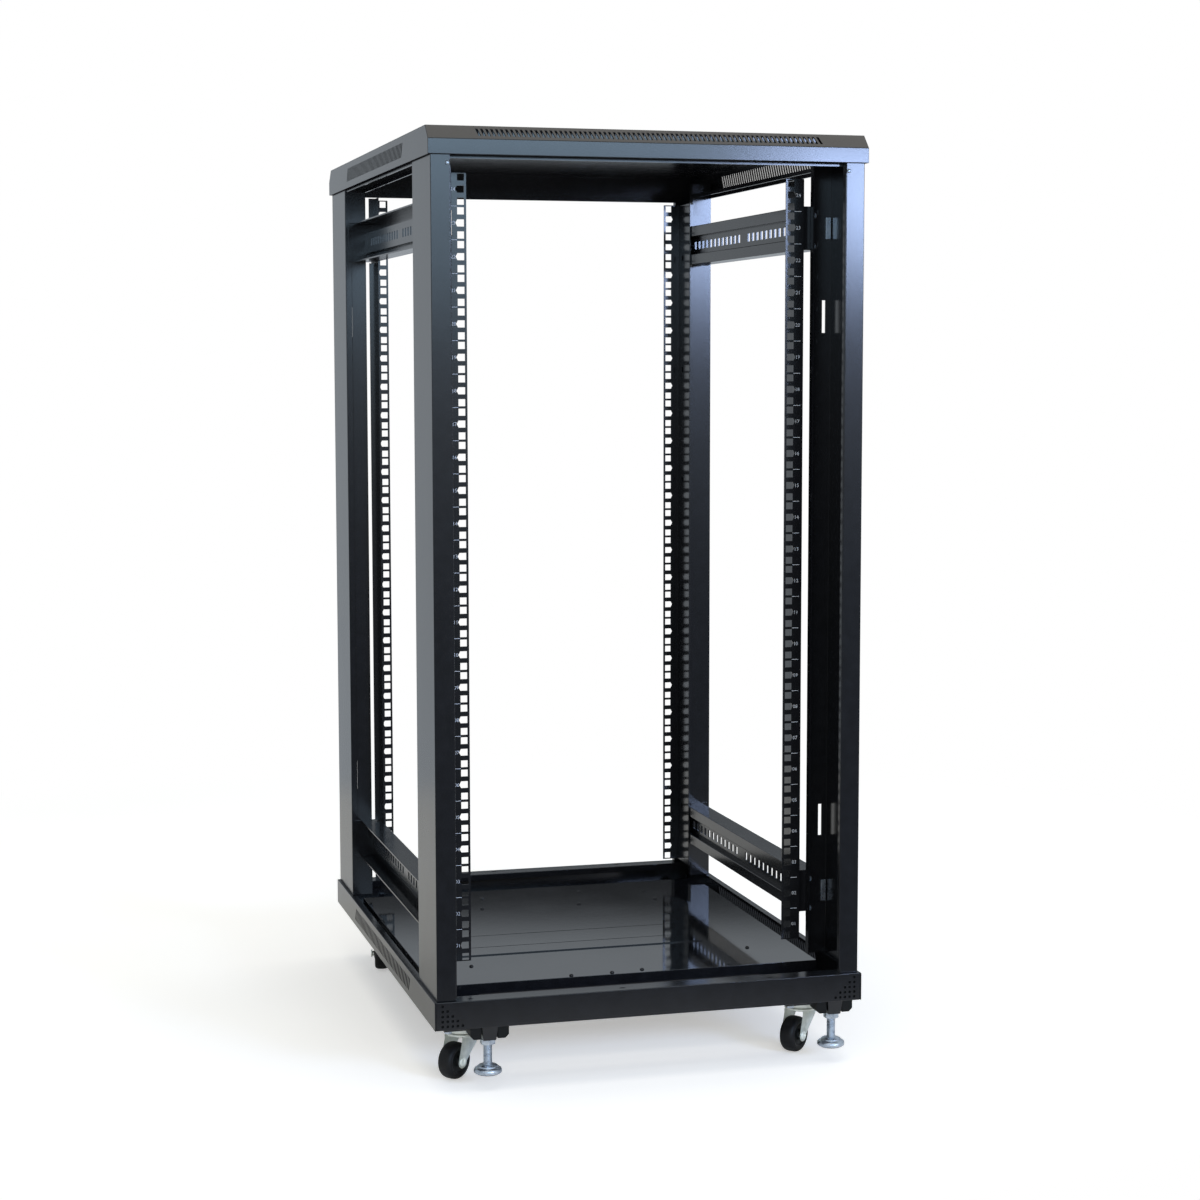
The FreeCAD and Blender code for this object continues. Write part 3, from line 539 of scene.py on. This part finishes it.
class RACK_OT_corner_posts(bpy.types.Operator):
    """Corner posts with rounded folds, each with a hem and a strip"""

    bl_idname = "rack.corner_posts"
    bl_label = "Corner posts"

    def execute(self, context):
        for corner in CORNERS:
            node = "corner_post_" + corner
            hand_over(dress_sheet(copy_of(node)), "post_sheet_" + corner, "frame", "coat", node)
            side = -1 if "left" in corner else 1
            end = -1 if "front" in corner else 1
            self.hem(corner, side, end)
            self.strip(corner, side, end)
        return {"FINISHED"}

    def hem(self, corner, side, end):
        """Rolled inner edge of the post's narrow face."""
        bpy.ops.mesh.primitive_cylinder_add(vertices=12, radius=0.0013, depth=1.085,
                                            location=(side * 0.2700, end * 0.3937, 0.6735))
        hem = break_edges(bpy.context.active_object, 0.0004, 2, 60)
        settle(hem)
        hand_over(hem, "post_hem_" + corner, "frame", "coat")

    def strip(self, corner, side, end):
        """Plain strip down the inner edge of the return flange; at the rear it covers the slots too."""
        middle, half = (0.2700, 0.0055) if end < 0 else (0.2755, 0.0110)
        back, thin = end * 0.2722, 0.0004
        strip = block((side * middle - half, back - thin, 0.180), (side * middle + half, back + thin, 1.200), 0.0002)
        hand_over(strip, "post_strip_" + corner, "frame", "coat")


class RACK_OT_mounting_rails(bpy.types.Operator):
    """Square holed mounting rails with rounded folds, each with the plain rear edge of its side web"""

    bl_idname = "rack.mounting_rails"
    bl_label = "Mounting rails"

    def execute(self, context):
        for corner in CORNERS:
            node = "mounting_rail_" + corner
            hand_over(dress_sheet(copy_of(node)), "rail_sheet_" + corner, "frame", "coat", node)
            low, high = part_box(node)
            lip, deeper, lap = 0.010, 0.020, 0.001
            near = low.x + lip if "left" in corner else high.x - lip - SHEET
            start, end = (high.y - lap, high.y + deeper) if "front" in corner else (low.y - deeper, low.y + lap)
            edge = block((near, start, low.z), (near + SHEET, end, high.z), 0.0004)
            hand_over(edge, "rail_web_edge_" + corner, "frame", "coat")
        return {"FINISHED"}


def channel_middle(level):
    """Height of the middle of the upper or lower depth channels."""
    low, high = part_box(level + "_depth_channel_left")
    return (low.z + high.z) / 2


class RACK_OT_depth_channels(bpy.types.Operator):
    """Slotted channels that tie the front posts to the rear posts"""

    bl_idname = "rack.depth_channels"
    bl_label = "Depth channels"

    def execute(self, context):
        for level in ("upper", "lower"):
            for side in ("left", "right"):
                node = level + "_depth_channel_" + side
                hand_over(dress_sheet(copy_of(node)), level + "_channel_sheet_" + side, "frame", "coat", node)
            middle = channel_middle(level)
            # The tab shows behind the notch of the front left rail; the hooks lie on the posts' return flanges.
            tall = 0.021
            tab = block((-0.2640, -0.2796, middle - tall), (-0.2520, -0.2782, middle + tall), 0.0003)
            hand_over(tab, level + "_channel_tab", "frame", "coat")
            wide, thick, tall = 0.0036, 0.0012, 0.015
            hooks = [block((across - wide, along - thick, middle - tall), (across + wide, along + thick, middle + tall),
                           0.0005) for across in (-0.2892, 0.2892) for along in (-0.2765, 0.2765)]
            hand_over(join(hooks), level + "_channel_hooks", "frame", "zinc")
        return {"FINISHED"}


class RACK_OT_base_beams(bpy.types.Operator):
    """Front and rear beams of the base"""

    bl_idname = "rack.base_beams"
    bl_label = "Base beams"

    def execute(self, context):
        sheet = context.scene.rack_sheet
        for end in ("front", "rear"):
            node = "base_" + end + "_beam"
            low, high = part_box(node)
            piece = dress_sheet(copy_of(node))
            if end == "front":
                # A triangle of dots in each lower corner, five in its longest row.
                pitch = sheet.dot_pitch
                dots = [(side * (high.x - 0.0085 - step * pitch), low.y, low.z + 0.0055 + row * pitch)
                        for side in (-1, 1) for row in range(5) for step in range(5 - row)]
                cut_with(piece, round_cutter(dots, sheet.dot_radius, "Y"))
            edge = low.y + 0.011 if end == "front" else high.y - 0.011
            ovals = [(across, edge, high.z) for across in (-0.250, -0.040, 0.170)]
            cut_with(piece, round_cutter(ovals, 0.0022, "Z", stretch=2.0))
            hand_over(piece, "base_beam_sheet_" + end, "frame", "coat", node)
        # Near-black plates just behind the dots: painted shade, so that the holes read as the dark hollow of the base.
        shade_plates = [block((start, -0.3972, 0.0905), (start + 0.041, -0.3960, 0.1235)) for start in (-0.297, 0.256)]
        hand_over(join(shade_plates), "dot_backing", "frame", "nylon")
        return {"FINISHED"}


class RACK_OT_top_beams(bpy.types.Operator):
    """Beams of the top frame under the roof cover"""

    bl_idname = "rack.top_beams"
    bl_label = "Top beams"

    def execute(self, context):
        for end in ("front", "rear", "left", "right"):
            node = "top_" + end + "_beam"
            piece = copy_of(node)
            edit(piece)
            select_all()
            # The part below this height is cut away.
            bpy.ops.mesh.bisect(plane_co=(0, 0, 1.2264), plane_no=(0, 0, 1), use_fill=True, clear_inner=True)
            leave_edit()
            hand_over(dress_sheet(piece), "top_beam_sheet_" + end, "frame", "coat", node)
        return {"FINISHED"}


def close_slots(piece, inside):
    """Delete the walls of slots whose middles pass a test, and close what they leave open."""
    edit(piece)
    choose(piece, "faces", inside)
    bpy.ops.mesh.delete(type="FACE")
    select_all()
    bpy.ops.mesh.fill_holes(sides=0)
    point_outwards()
    bpy.ops.mesh.dissolve_limited(angle_limit=math.radians(0.5), delimit=set())
    leave_edit()


def leaning_bar(size, axis, shift):
    """A box around the origin whose two ends along an axis are shifted opposite ways."""
    bar = block([-length / 2 for length in size], [length / 2 for length in size], 0)
    edit(bar)
    for end in (1, -1):
        choose(bar, "verts", lambda vert: vert.co[axis] * end > 0)
        bpy.ops.transform.translate(value=[end * part for part in shift])
    leave_edit()
    return bar


def grille_cutter(side, height):
    """A row of leaning slots through a side wall; the right wall's lean the other way."""
    grille = bpy.context.scene.rack_grille
    run = grille.side_pitch * (grille.side_count - 1)
    lean = side * math.tan(grille.side_lean) * grille.side_height / 2
    bar = leaning_bar((0.02, grille.side_slot, grille.side_height), 2, (0, lean, 0))
    stand(bar, (side * CAD_BOX[1].x, -run / 2, height))
    return row_of(bar, grille.side_count, (0, grille.side_pitch, 0))


def roof_cutter(end):
    """A row of slots through the bevelled front or rear edge of the roof."""
    grille = bpy.context.scene.rack_grille
    low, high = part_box("top_cover")
    run = grille.roof_pitch * (grille.roof_count - 1)
    bar = leaning_bar((grille.roof_slot, 0.0145, 0.006), 1, (grille.roof_lean / 2, 0, 0))
    inset = 0.0092
    stand(bar, (-run / 2, end * (high.y - inset), high.z - inset), (-end * math.radians(45), 0, 0))
    return row_of(bar, grille.roof_count, (grille.roof_pitch, 0, 0))


def in_side_slot(face, middle):
    """True for a wall of a slot in a side grille around this height."""
    place = face.calc_center_median()
    return abs(place.z - middle) < 0.0125 and abs(place.y) < 0.23 and abs(face.normal.x) < 0.5


class RACK_OT_base_sides(bpy.types.Operator):
    """Side walls of the base with their rows of leaning slots"""

    bl_idname = "rack.base_sides"
    bl_label = "Base sides"

    def execute(self, context):
        for side, name in ((-1, "left"), (1, "right")):
            node = "base_" + name + "_side"
            low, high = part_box(node)
            middle = (low.z + high.z) / 2
            piece = copy_of(node, plain=False)
            close_slots(piece, lambda face: in_side_slot(face, middle))
            dress_sheet(piece)
            cut_with(piece, grille_cutter(side, middle))
            hand_over(piece, "base_wall_" + name, "frame", "coat", node)
        return {"FINISHED"}


class RACK_OT_roof_cover(bpy.types.Operator):
    """Roof cover with slotted bevelled edges and side grilles"""

    bl_idname = "rack.roof_cover"
    bl_label = "Roof cover"

    def execute(self, context):
        low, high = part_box("top_cover")
        middle = (low.z + high.z) / 2
        piece = copy_of("top_cover", plain=False)

        def slot_wall(face):
            place = face.calc_center_median()
            if abs(place.x) > high.x - 0.002:
                return in_side_slot(face, middle)
            return (abs(place.x) < 0.24 and high.y - 0.018 < abs(place.y) < high.y - 0.001
                    and max(abs(face.normal.x), abs(face.normal.y)) > 0.9)

        close_slots(piece, slot_wall)
        dress_sheet(piece, THIN_SHEET)
        for side in (-1, 1):
            cut_with(piece, grille_cutter(side, middle))
            cut_with(piece, roof_cutter(side))
        hand_over(piece, "roof_sheet", "frame", "coat", "top_cover")
        return {"FINISHED"}


class RACK_OT_floor_plate(bpy.types.Operator):
    """Floor plate and the slatted lid over its cable entry"""

    bl_idname = "rack.floor_plate"
    bl_label = "Floor plate"

    def execute(self, context):
        plate = dress_sheet(copy_of("floor_plate"), THIN_SHEET)
        hand_over(plate, "floor_sheet", "frame", "enamel", "floor_plate")
        hand_over(copy_of("cable_entry_slats"), "entry_lid", "frame", "enamel", "cable_entry_slats")
        return {"FINISHED"}


# ---------------------------------------------------------------- markings and screws


class RACK_OT_rail_markings(bpy.types.Operator):
    """Unit numbers and the lines between units on the rails"""

    bl_idname = "rack.rail_markings"
    bl_label = "Rail markings"

    def execute(self, context):
        marks = context.scene.rack_markings
        for corner in CORNERS:
            low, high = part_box("mounting_rail_" + corner)
            side = -1 if "left" in corner else 1
            front = "front" in corner
            print_depth = 0.00006
            face = low.y - print_depth if front else high.y + print_depth
            inner = abs(low.x) if side > 0 else abs(high.x)
            turn = (math.pi / 2, 0, 0 if front else math.pi)
            bpy.ops.object.text_add(location=(side * (inner + 0.0182), face, low.z + (UNITS - 0.5) * UNIT))
            text = bpy.context.active_object
            text.data.body = "\n".join("%02d" % number for number in range(UNITS, 0, -1))
            text.data.size = marks.number_size
            text.data.space_line = UNIT / marks.number_size
            text.data.align_x = "CENTER"
            text.data.align_y = "TOP_BASELINE"
            text.data.resolution_u = 2
            text.rotation_euler = turn
            pick(text)
            bpy.ops.object.convert(target="MESH")
            text.location.z -= marks.number_size * 0.35
            settle(text)
            hand_over(text, "unit_numbers_" + corner, "frame", "ink")
            bpy.ops.mesh.primitive_plane_add(size=1)
            tick = bpy.context.active_object
            tick.scale = (0.0100, marks.tick_width, 1)
            stand(tick, (side * (inner + 0.0175), face, low.z + UNIT), turn)
            hand_over(row_of(tick, UNITS - 1, (0, 0, UNIT)), "unit_lines_" + corner, "frame", "ink")
        return {"FINISHED"}


class RACK_OT_screws(bpy.types.Operator):
    """Zinc screws at the channel ends and post tops, black ones through the floor plate"""

    bl_idname = "rack.screws"
    bl_label = "Screws"

    def execute(self, context):
        for name, end in (("front", -1), ("rear", 1)):
            turn = (-end * math.pi / 2, 0, 0)
            places = [(across, end * 0.2750, channel_middle(level) + lift) for level in ("upper", "lower")
                      for across in (-0.2685, 0.2685) for lift in (0.0175, -0.0250)]
            self.add("channel_screws_" + name, "zinc", 0.0042, places, turn)
            places = [(across, end * 0.3952, 1.2195) for across in (-0.2735, 0.2735)]
            self.add("post_screws_" + name, "zinc", 0.0028, places, turn)
        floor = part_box("floor_plate")[1].z
        places = [(x / 1000, y / 1000, floor) for x, y in (
            (-82, -277), (-23, -276), (22, -271), (150, -274), (-97, 226), (-112, 158), (64, 234), (42, 151),
            (166, 213), (167, 153), (-205, 226), (-205, -190), (205, -190))]
        self.add("floor_screws", "coat", 0.0030, places, (0, 0, 0))
        return {"FINISHED"}

    def add(self, name, key, radius, places, turn):
        """One piece of screw heads of a radius at places."""
        hand_over(join(copies(screw_head(radius), places, turn)), name, "frame", key)


# ---------------------------------------------------------------- casters and feet


# The axis of each swivel across and back, and the turn of its fork in degrees.
SWIVELS = {
    "front_left": (-0.244, -0.311, -50),
    "front_right": (0.244, -0.311, -50),
    "rear_left": (-0.244, 0.311, -10),
    "rear_right": (0.244, 0.311, -50),
}
TRAIL = 0.019
WHEEL_RADIUS = 0.025
AXLE = (0, -TRAIL, WHEEL_RADIUS)


def fork_cheek(side):
    """One cheek of a swivel fork: straight at the crown, tapering to a round end at the axle."""
    bpy.ops.mesh.primitive_circle_add(vertices=32, radius=0.009, fill_type="NGON",
                                      location=(side * 0.015, -TRAIL, WHEEL_RADIUS), rotation=(0, math.pi / 2, 0))
    cheek = bpy.context.active_object
    settle(cheek)
    edit(cheek)
    choose(cheek, "edges", lambda edge: min(vert.co.z for vert in edge.verts) > WHEEL_RADIUS - 0.00001)
    for height, half in ((0.054, 0.0200), (0.0585, 0.0205)):
        low = min(vert.co.z for vert in bmesh.from_edit_mesh(cheek.data).verts if vert.select)
        bpy.ops.mesh.extrude_region_move(TRANSFORM_OT_translate={"value": (0, 0, height - low)})
        chosen = [vert.co.y for vert in bmesh.from_edit_mesh(cheek.data).verts if vert.select]
        middle, half_now = (min(chosen) + max(chosen)) / 2, (max(chosen) - min(chosen)) / 2
        bpy.ops.transform.resize(value=(1, half / half_now, 0), center_override=(0, middle, height))
        bpy.ops.transform.translate(value=(0, -middle, 0))
    select_all()
    bpy.ops.mesh.dissolve_limited(angle_limit=math.radians(1))
    select_all()
    sheet = side * 0.0025
    bpy.ops.mesh.extrude_region_move(TRANSFORM_OT_translate={"value": (sheet, 0, 0)})
    bpy.ops.transform.translate(value=(-sheet, 0, 0))
    point_outwards()
    leave_edit()
    return cheek


class RACK_OT_casters(bpy.types.Operator):
    """Casters: black riser, zinc ball race, bolts and fork, black wheel"""

    bl_idname = "rack.casters"
    bl_label = "Casters"

    def execute(self, context):
        for corner, (across, back, degrees) in SWIVELS.items():
            paint_node("caster_mount_" + corner, "coat")
            place, turn = (across, back, 0), (0, 0, math.radians(degrees))
            self.mount(corner, place)
            self.fork(corner, place, turn)
            self.wheel(corner, place, turn)
        return {"FINISHED"}

    def mount(self, corner, place):
        """Ball race and the four bolts of the top plate."""
        race = turned_mm((20.2, 61.5), (21.0, 61.9), (22.4, 64.0), (22.6, 66.0), (22.2, 67.6), (23.2, 68.6),
                         (23.4, 69.9))
        hand_over(stand(race, place), "ball_race_" + corner, "frame", "pale_zinc")
        out = 0.0255
        bolts = join(copies(hexagon(0.010, 0.0664, 0.0702), [(x, y, 0) for x in (-out, out) for y in (-out, out)]))
        hand_over(stand(bolts, place), "plate_bolts_" + corner, "frame", "zinc")

    def fork(self, corner, place, turn):
        """Crown, two cheeks and the axle's rivets."""
        parts = [turned_mm((20.0, 57.6), (22.2, 57.8), (23.0, 58.7), (23.0, 59.8), (22.4, 60.7), (21.0, 61.0),
                           segments=48)]
        for side in (-1, 1):
            parts.append(break_edges(fork_cheek(side), 0.0006, 2, 60))
            rivet = turned_mm((4.0, 12.0), (4.0, 14.9), (6.2, 14.95), (6.2, 15.9), (5.6, 16.7), (4.6, 17.0),
                              (3.4, 16.9), (2.9, 15.9), (0.8, 15.6), segments=24)
            parts.append(stand(rivet, AXLE, (0, side * math.pi / 2, 0)))
        fork = stand(join(parts), place, turn)
        hand_over(fork, "swivel_fork_" + corner, "swivel_" + corner, "pale_zinc", "caster_fork_" + corner)

    def wheel(self, corner, place, turn):
        """Tyre with stepped sides around a plain hub."""
        tyre = turned_mm((15.0, -8.6), (15.6, -9.9), (17.2, -10.4), (18.0, -10.9), (18.6, -10.4), (19.4, -11.0),
                         (21.0, -10.7), (22.8, -9.6), (24.1, -7.8), (24.8, -5.4), (25.0, -2.5), (25.0, 2.5),
                         (24.8, 5.4), (24.1, 7.8), (22.8, 9.6), (21.0, 10.7), (19.4, 11.0), (18.6, 10.4),
                         (18.0, 10.9), (17.2, 10.4), (15.6, 9.9), (15.0, 8.6), segments=48)
        hub = turned_mm((5.0, -12.0), (7.0, -11.9), (7.6, -11.2), (8.2, -9.2), (15.6, -8.8), (15.6, 8.8),
                        (8.2, 9.2), (7.6, 11.2), (7.0, 11.9), (5.0, 12.0))
        for piece, name, key, nodes in ((tyre, "tyre_", "tyre", ("caster_wheel_" + corner,)),
                                        (hub, "wheel_hub_", "nylon", ())):
            stand(piece, AXLE, (0, math.pi / 2, 0))
            hand_over(stand(piece, place, turn), name + corner, "wheel_" + corner, key, *nodes)


class RACK_OT_levelling_feet(bpy.types.Operator):
    """Levelling feet: threaded stud, stepped pad, soft sole, and the block and nut over them"""

    bl_idname = "rack.levelling_feet"
    bl_label = "Levelling feet"

    def execute(self, context):
        for corner in CORNERS:
            low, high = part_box("levelling_foot_" + corner)
            middle = ((low.x + high.x) / 2, (low.y + high.y) / 2, 0)
            pad = turned_mm((15.6, 21.0), (17.4, 21.1), (18.6, 22.0), (19.0, 23.6), (18.9, 25.6), (18.0, 27.3),
                            (16.4, 28.4), (14.6, 28.9), (14.0, 29.6), (13.4, 31.0), (11.8, 31.9), (9.0, 32.4),
                            (8.2, 32.7), (6.2, 33.0), segments=40)
            stud = turned([(0.006 if step % 2 else 0.0055, 0.0322 + step * 0.000875) for step in range(70)]
                          + [(0.0048, 0.094)], 20)
            foot = stand(join([pad, stud]), middle)
            hand_over(foot, "foot_pad_" + corner, "foot_" + corner, "zinc", "levelling_foot_" + corner)
            sole = turned_mm((13.6, 20.0), (15.6, 20.1), (16.4, 20.6), (16.4, 21.6), segments=40)
            hand_over(stand(sole, middle), "foot_sole_" + corner, "foot_" + corner, "tyre")
            self.arms(corner, middle)
            self.centre(corner, middle)
            nut = hexagon(0.0188, 0.0602, 0.0679, 0.0008)
            cut_with(nut, turned_mm((6.1, 50.0), (6.1, 75.0), segments=24))
            hand_over(stand(nut, middle), "bracket_nut_" + corner, "frame", "zinc")
        return {"FINISHED"}

    def arms(self, corner, middle):
        """Two moulded arms, bevelled below at their outer ends."""
        arms = []
        base = 0.070
        for side in (-1, 1):
            arm = block((side * 0.0265, -0.013, base), (side * 0.0112, 0.013, 0.0879), 0)
            edit(arm)
            choose(arm, "edges", lambda edge: all(
                vert.co.z < base + 0.0001 and abs(vert.co.x) > 0.02 for vert in edge.verts))
            bpy.ops.mesh.bevel(offset_type="OFFSET", offset=0.005, segments=1)
            point_outwards()
            leave_edit()
            arms.append(break_edges(arm, 0.0006))
        hand_over(stand(join(arms), middle), "bracket_arms_" + corner, "frame", "nylon", "foot_bracket_" + corner)

    def centre(self, corner, middle):
        """Block between the arms, narrower below, with a bore for the stud."""
        base = 0.068
        centre = block((-0.011, -0.017, base), (0.011, 0.017, 0.0879), 0)
        edit(centre)
        choose(centre, "faces", lambda face: face.normal.z < -0.5)
        bpy.ops.transform.resize(value=(0.80, 0.82, 1), center_override=(0, 0, base))
        leave_edit()
        break_edges(centre, 0.0008, 3)
        cut_with(centre, turned_mm((6.1, 60.0), (6.1, 99.0), segments=24))
        hand_over(stand(centre, middle), "bracket_centre_" + corner, "frame", "coat")


# ---------------------------------------------------------------- stage


# Behind the rack, (height, grey) of a white wall low down, a darker band over it, then the ceiling.
WALL_BANDS = ((0.11, 0.55), (0.15, 0.07), (0.223, 0.02), (0.236, 0.55), (1.0, 0.6))


def studio_world():
    """White surroundings; glossy steel sees a darker studio floor in front and a banded wall behind."""
    world = bpy.data.worlds.new("studio")
    bpy.context.scene.world = world
    world.use_nodes = True
    tree = world.node_tree
    tree.nodes.clear()
    rays = add_node(tree, "ShaderNodeLightPath")
    way = add_node(tree, "ShaderNodeTexCoord")
    split = add_node(tree, "ShaderNodeSeparateXYZ", {"Vector": way.outputs["Generated"]})
    height = add_node(tree, "ShaderNodeMapRange", {"Value": split.outputs["Z"]},
                      From_Min=-0.09, From_Max=0.02, To_Min=0.14, To_Max=0.75, interpolation_type="SMOOTHSTEP")
    ahead = add_node(tree, "ShaderNodeMapRange", {"Value": split.outputs["Y"]},
                     From_Min=-0.65, From_Max=-0.15, To_Min=1.0, To_Max=0.0, interpolation_type="SMOOTHSTEP")
    behind = add_node(tree, "ShaderNodeValToRGB", {"Fac": split.outputs["Z"]})
    bands = behind.color_ramp.elements
    while len(bands) < len(WALL_BANDS):
        bands.new(0.5)
    for stop, (place, grey) in zip(bands, WALL_BANDS):
        stop.position = place
        stop.color = (grey, grey, grey, 1.0)
    mirror = add_node(tree, "ShaderNodeMix", {0: ahead.outputs["Result"], 2: behind.outputs["Color"],
                                              3: height.outputs["Result"]}, data_type="FLOAT")
    soft = add_node(tree, "ShaderNodeMix", {0: rays.outputs["Is Glossy Ray"], 3: mirror.outputs[0]},
                    data_type="FLOAT")
    soft.inputs[2].default_value = 0.5
    plain = add_node(tree, "ShaderNodeMix", {0: rays.outputs["Is Camera Ray"], 2: soft.outputs[0]},
                     data_type="FLOAT")
    plain.inputs[3].default_value = 1.0
    shade = add_node(tree, "ShaderNodeMix", {0: rays.outputs["Is Camera Ray"]}, data_type="RGBA")
    shade.inputs[6].default_value = (0.90, 0.98, 1.06, 1.0)
    shade.inputs[7].default_value = (1.0, 1.0, 1.0, 1.0)
    light = add_node(tree, "ShaderNodeBackground", {"Strength": plain.outputs[0], "Color": shade.outputs[2]})
    add_node(tree, "ShaderNodeOutputWorld", {"Surface": light.outputs["Background"]})


def studio_floor():
    """Pale floor that fades into the white surroundings away from the rack."""
    stage = bpy.context.scene.rack_stage
    # A little under the wheels, so that they don't share a plane with it.
    bpy.ops.mesh.primitive_circle_add(vertices=64, radius=2.6, fill_type="NGON", location=(0, 0.2, -0.0005))
    floor = bpy.context.active_object
    floor.name = "studio_floor"
    settle(floor)
    paint = bpy.data.materials.new("matt_floor_paint")
    paint.use_nodes = True
    tree = paint.node_tree
    tree.nodes.clear()
    where = add_node(tree, "ShaderNodeTexCoord")
    centre = add_node(tree, "ShaderNodeMapping", {"Vector": where.outputs["Object"]},
                      Location=(0, -0.35, 0), Scale=(0.5, 0.55, 0.5))
    fade = add_node(tree, "ShaderNodeTexGradient", {"Vector": centre.outputs["Vector"]}, gradient_type="SPHERICAL")
    near = add_node(tree, "ShaderNodeMapRange", {"Value": fade.outputs["Fac"]},
                    From_Min=0.12, From_Max=0.35, To_Min=0.0, To_Max=1.0, interpolation_type="SMOOTHSTEP")
    rays = add_node(tree, "ShaderNodeLightPath")
    lift = add_node(tree, "ShaderNodeMath", {0: rays.outputs["Is Camera Ray"]}, operation="MULTIPLY")
    lift.inputs[1].default_value = 0.38
    glow = add_node(tree, "ShaderNodeEmission", {"Strength": lift.outputs[0]})
    paint_layer = add_node(tree, "ShaderNodeBsdfDiffuse", Color=(*stage.floor, 1.0))
    matt = add_node(tree, "ShaderNodeAddShader", {0: paint_layer.outputs["BSDF"], 1: glow.outputs["Emission"]})
    white = add_node(tree, "ShaderNodeEmission", Strength=1.0)
    clear = add_node(tree, "ShaderNodeBsdfTransparent")
    far = add_node(tree, "ShaderNodeMixShader", {0: rays.outputs["Is Camera Ray"],
                   1: clear.outputs["BSDF"], 2: white.outputs["Emission"]})
    blend = add_node(tree, "ShaderNodeMixShader", {0: near.outputs["Result"],
                     1: far.outputs["Shader"], 2: matt.outputs["Shader"]})
    add_node(tree, "ShaderNodeOutputMaterial", {"Surface": blend.outputs["Shader"]})
    floor.data.materials.append(paint)


def softbox(name, place, target, width, height, power, colour, mirrored=True):
    """A rectangular soft lamp aimed at a point; one that isn't mirrored only fills."""
    bpy.ops.object.light_add(type="AREA", location=place)
    lamp = bpy.context.active_object
    lamp.name = name
    lamp.data.shape = "RECTANGLE"
    lamp.data.size = width
    lamp.data.size_y = height
    lamp.data.energy = power
    lamp.data.color = colour[:3]
    lamp.visible_glossy = mirrored
    lamp.rotation_euler = (Vector(target) - Vector(place)).to_track_quat("-Z", "Y").to_euler()


class RACK_OT_stage(bpy.types.Operator):
    """Pale floor, soft lamps, white surroundings and the camera"""

    bl_idname = "rack.stage"
    bl_label = "Studio"

    def execute(self, context):
        context.scene.view_settings.view_transform = "Standard"
        studio_world()
        studio_floor()
        sky = linear("b9d0ff")
        haze = linear("bce1ff")
        softbox("window_softbox", (1.92, -4.2, 1.50), (1.92, 0, 1.50), 0.84, 0.44, 42, sky)
        softbox("window_fill", (2.50, -4.2, 1.64), (2.50, 0, 1.64), 2.0, 0.72, 90, sky, mirrored=False)
        softbox("front_softbox", (0.0, -4.3, 1.75), (0.0, 0, 1.75), 2.8, 0.5, 24.6, haze)
        softbox("low_softbox", (0.0, -4.3, 1.31), (0.0, 0, 1.31), 2.8, 0.38, 8, haze)
        softbox("top_softbox", (0.0, 0.0, 3.6), (0, 0, 0), 3.0, 3.0, 34, linear("fff6e6"))
        softbox("fill_softbox", (-0.3, -3.2, 0.7), (0, -0.3, 0.1), 2.6, 1.0, 40, linear("fff4e4"), mirrored=False)
        bpy.ops.object.camera_add(location=(-0.9100, -3.4540, 0.9642))
        camera = bpy.context.active_object
        way = Vector((0.26285, 0.95988, -0.09766))
        camera.rotation_euler = way.to_track_quat("-Z", "Y").to_euler()
        camera.rotation_euler.rotate_axis("Z", math.radians(-0.075))
        camera.data.sensor_width = 36
        camera.data.lens = context.scene.rack_stage.lens
        context.scene.camera = camera
        return {"FINISHED"}


# ---------------------------------------------------------------- panel and start


OPERATORS = (
    RACK_OT_stage,
    RACK_OT_corner_posts,
    RACK_OT_mounting_rails,
    RACK_OT_depth_channels,
    RACK_OT_base_beams,
    RACK_OT_base_sides,
    RACK_OT_top_beams,
    RACK_OT_roof_cover,
    RACK_OT_floor_plate,
    RACK_OT_rail_markings,
    RACK_OT_screws,
    RACK_OT_casters,
    RACK_OT_levelling_feet,
)
SETTINGS = {
    "rack_sheet": RackSheetSettings,
    "rack_grille": RackGrilleSettings,
    "rack_markings": RackMarkingSettings,
    "rack_finish": RackFinishSettings,
    "rack_stage": RackStageSettings,
}


class RACK_PT_panel(bpy.types.Panel):
    """Lists the steps that dress the rack"""

    bl_idname = "RACK_PT_panel"
    bl_label = "Open frame rack"
    bl_space_type = "VIEW_3D"
    bl_region_type = "UI"
    bl_category = "Rack"

    def draw(self, context):
        for name, group in SETTINGS.items():
            box = self.layout.box()
            for field in group.__annotations__:
                box.prop(getattr(context.scene, name), field)
        for step in OPERATORS:
            self.layout.operator(step.bl_idname)


def register():
    for group in SETTINGS.values():
        bpy.utils.register_class(group)
    for name, group in SETTINGS.items():
        setattr(bpy.types.Scene, name, PointerProperty(type=group))
    for item in (*OPERATORS, RACK_PT_panel):
        bpy.utils.register_class(item)


def unregister():
    for item in reversed((*OPERATORS, RACK_PT_panel)):
        bpy.utils.unregister_class(item)
    for name, group in SETTINGS.items():
        delattr(bpy.types.Scene, name)
        bpy.utils.unregister_class(group)


def main():
    register()
    for step in OPERATORS:
        group, name = step.bl_idname.split(".")
        getattr(getattr(bpy.ops, group), name)()


if __name__ == "__main__":
    main()
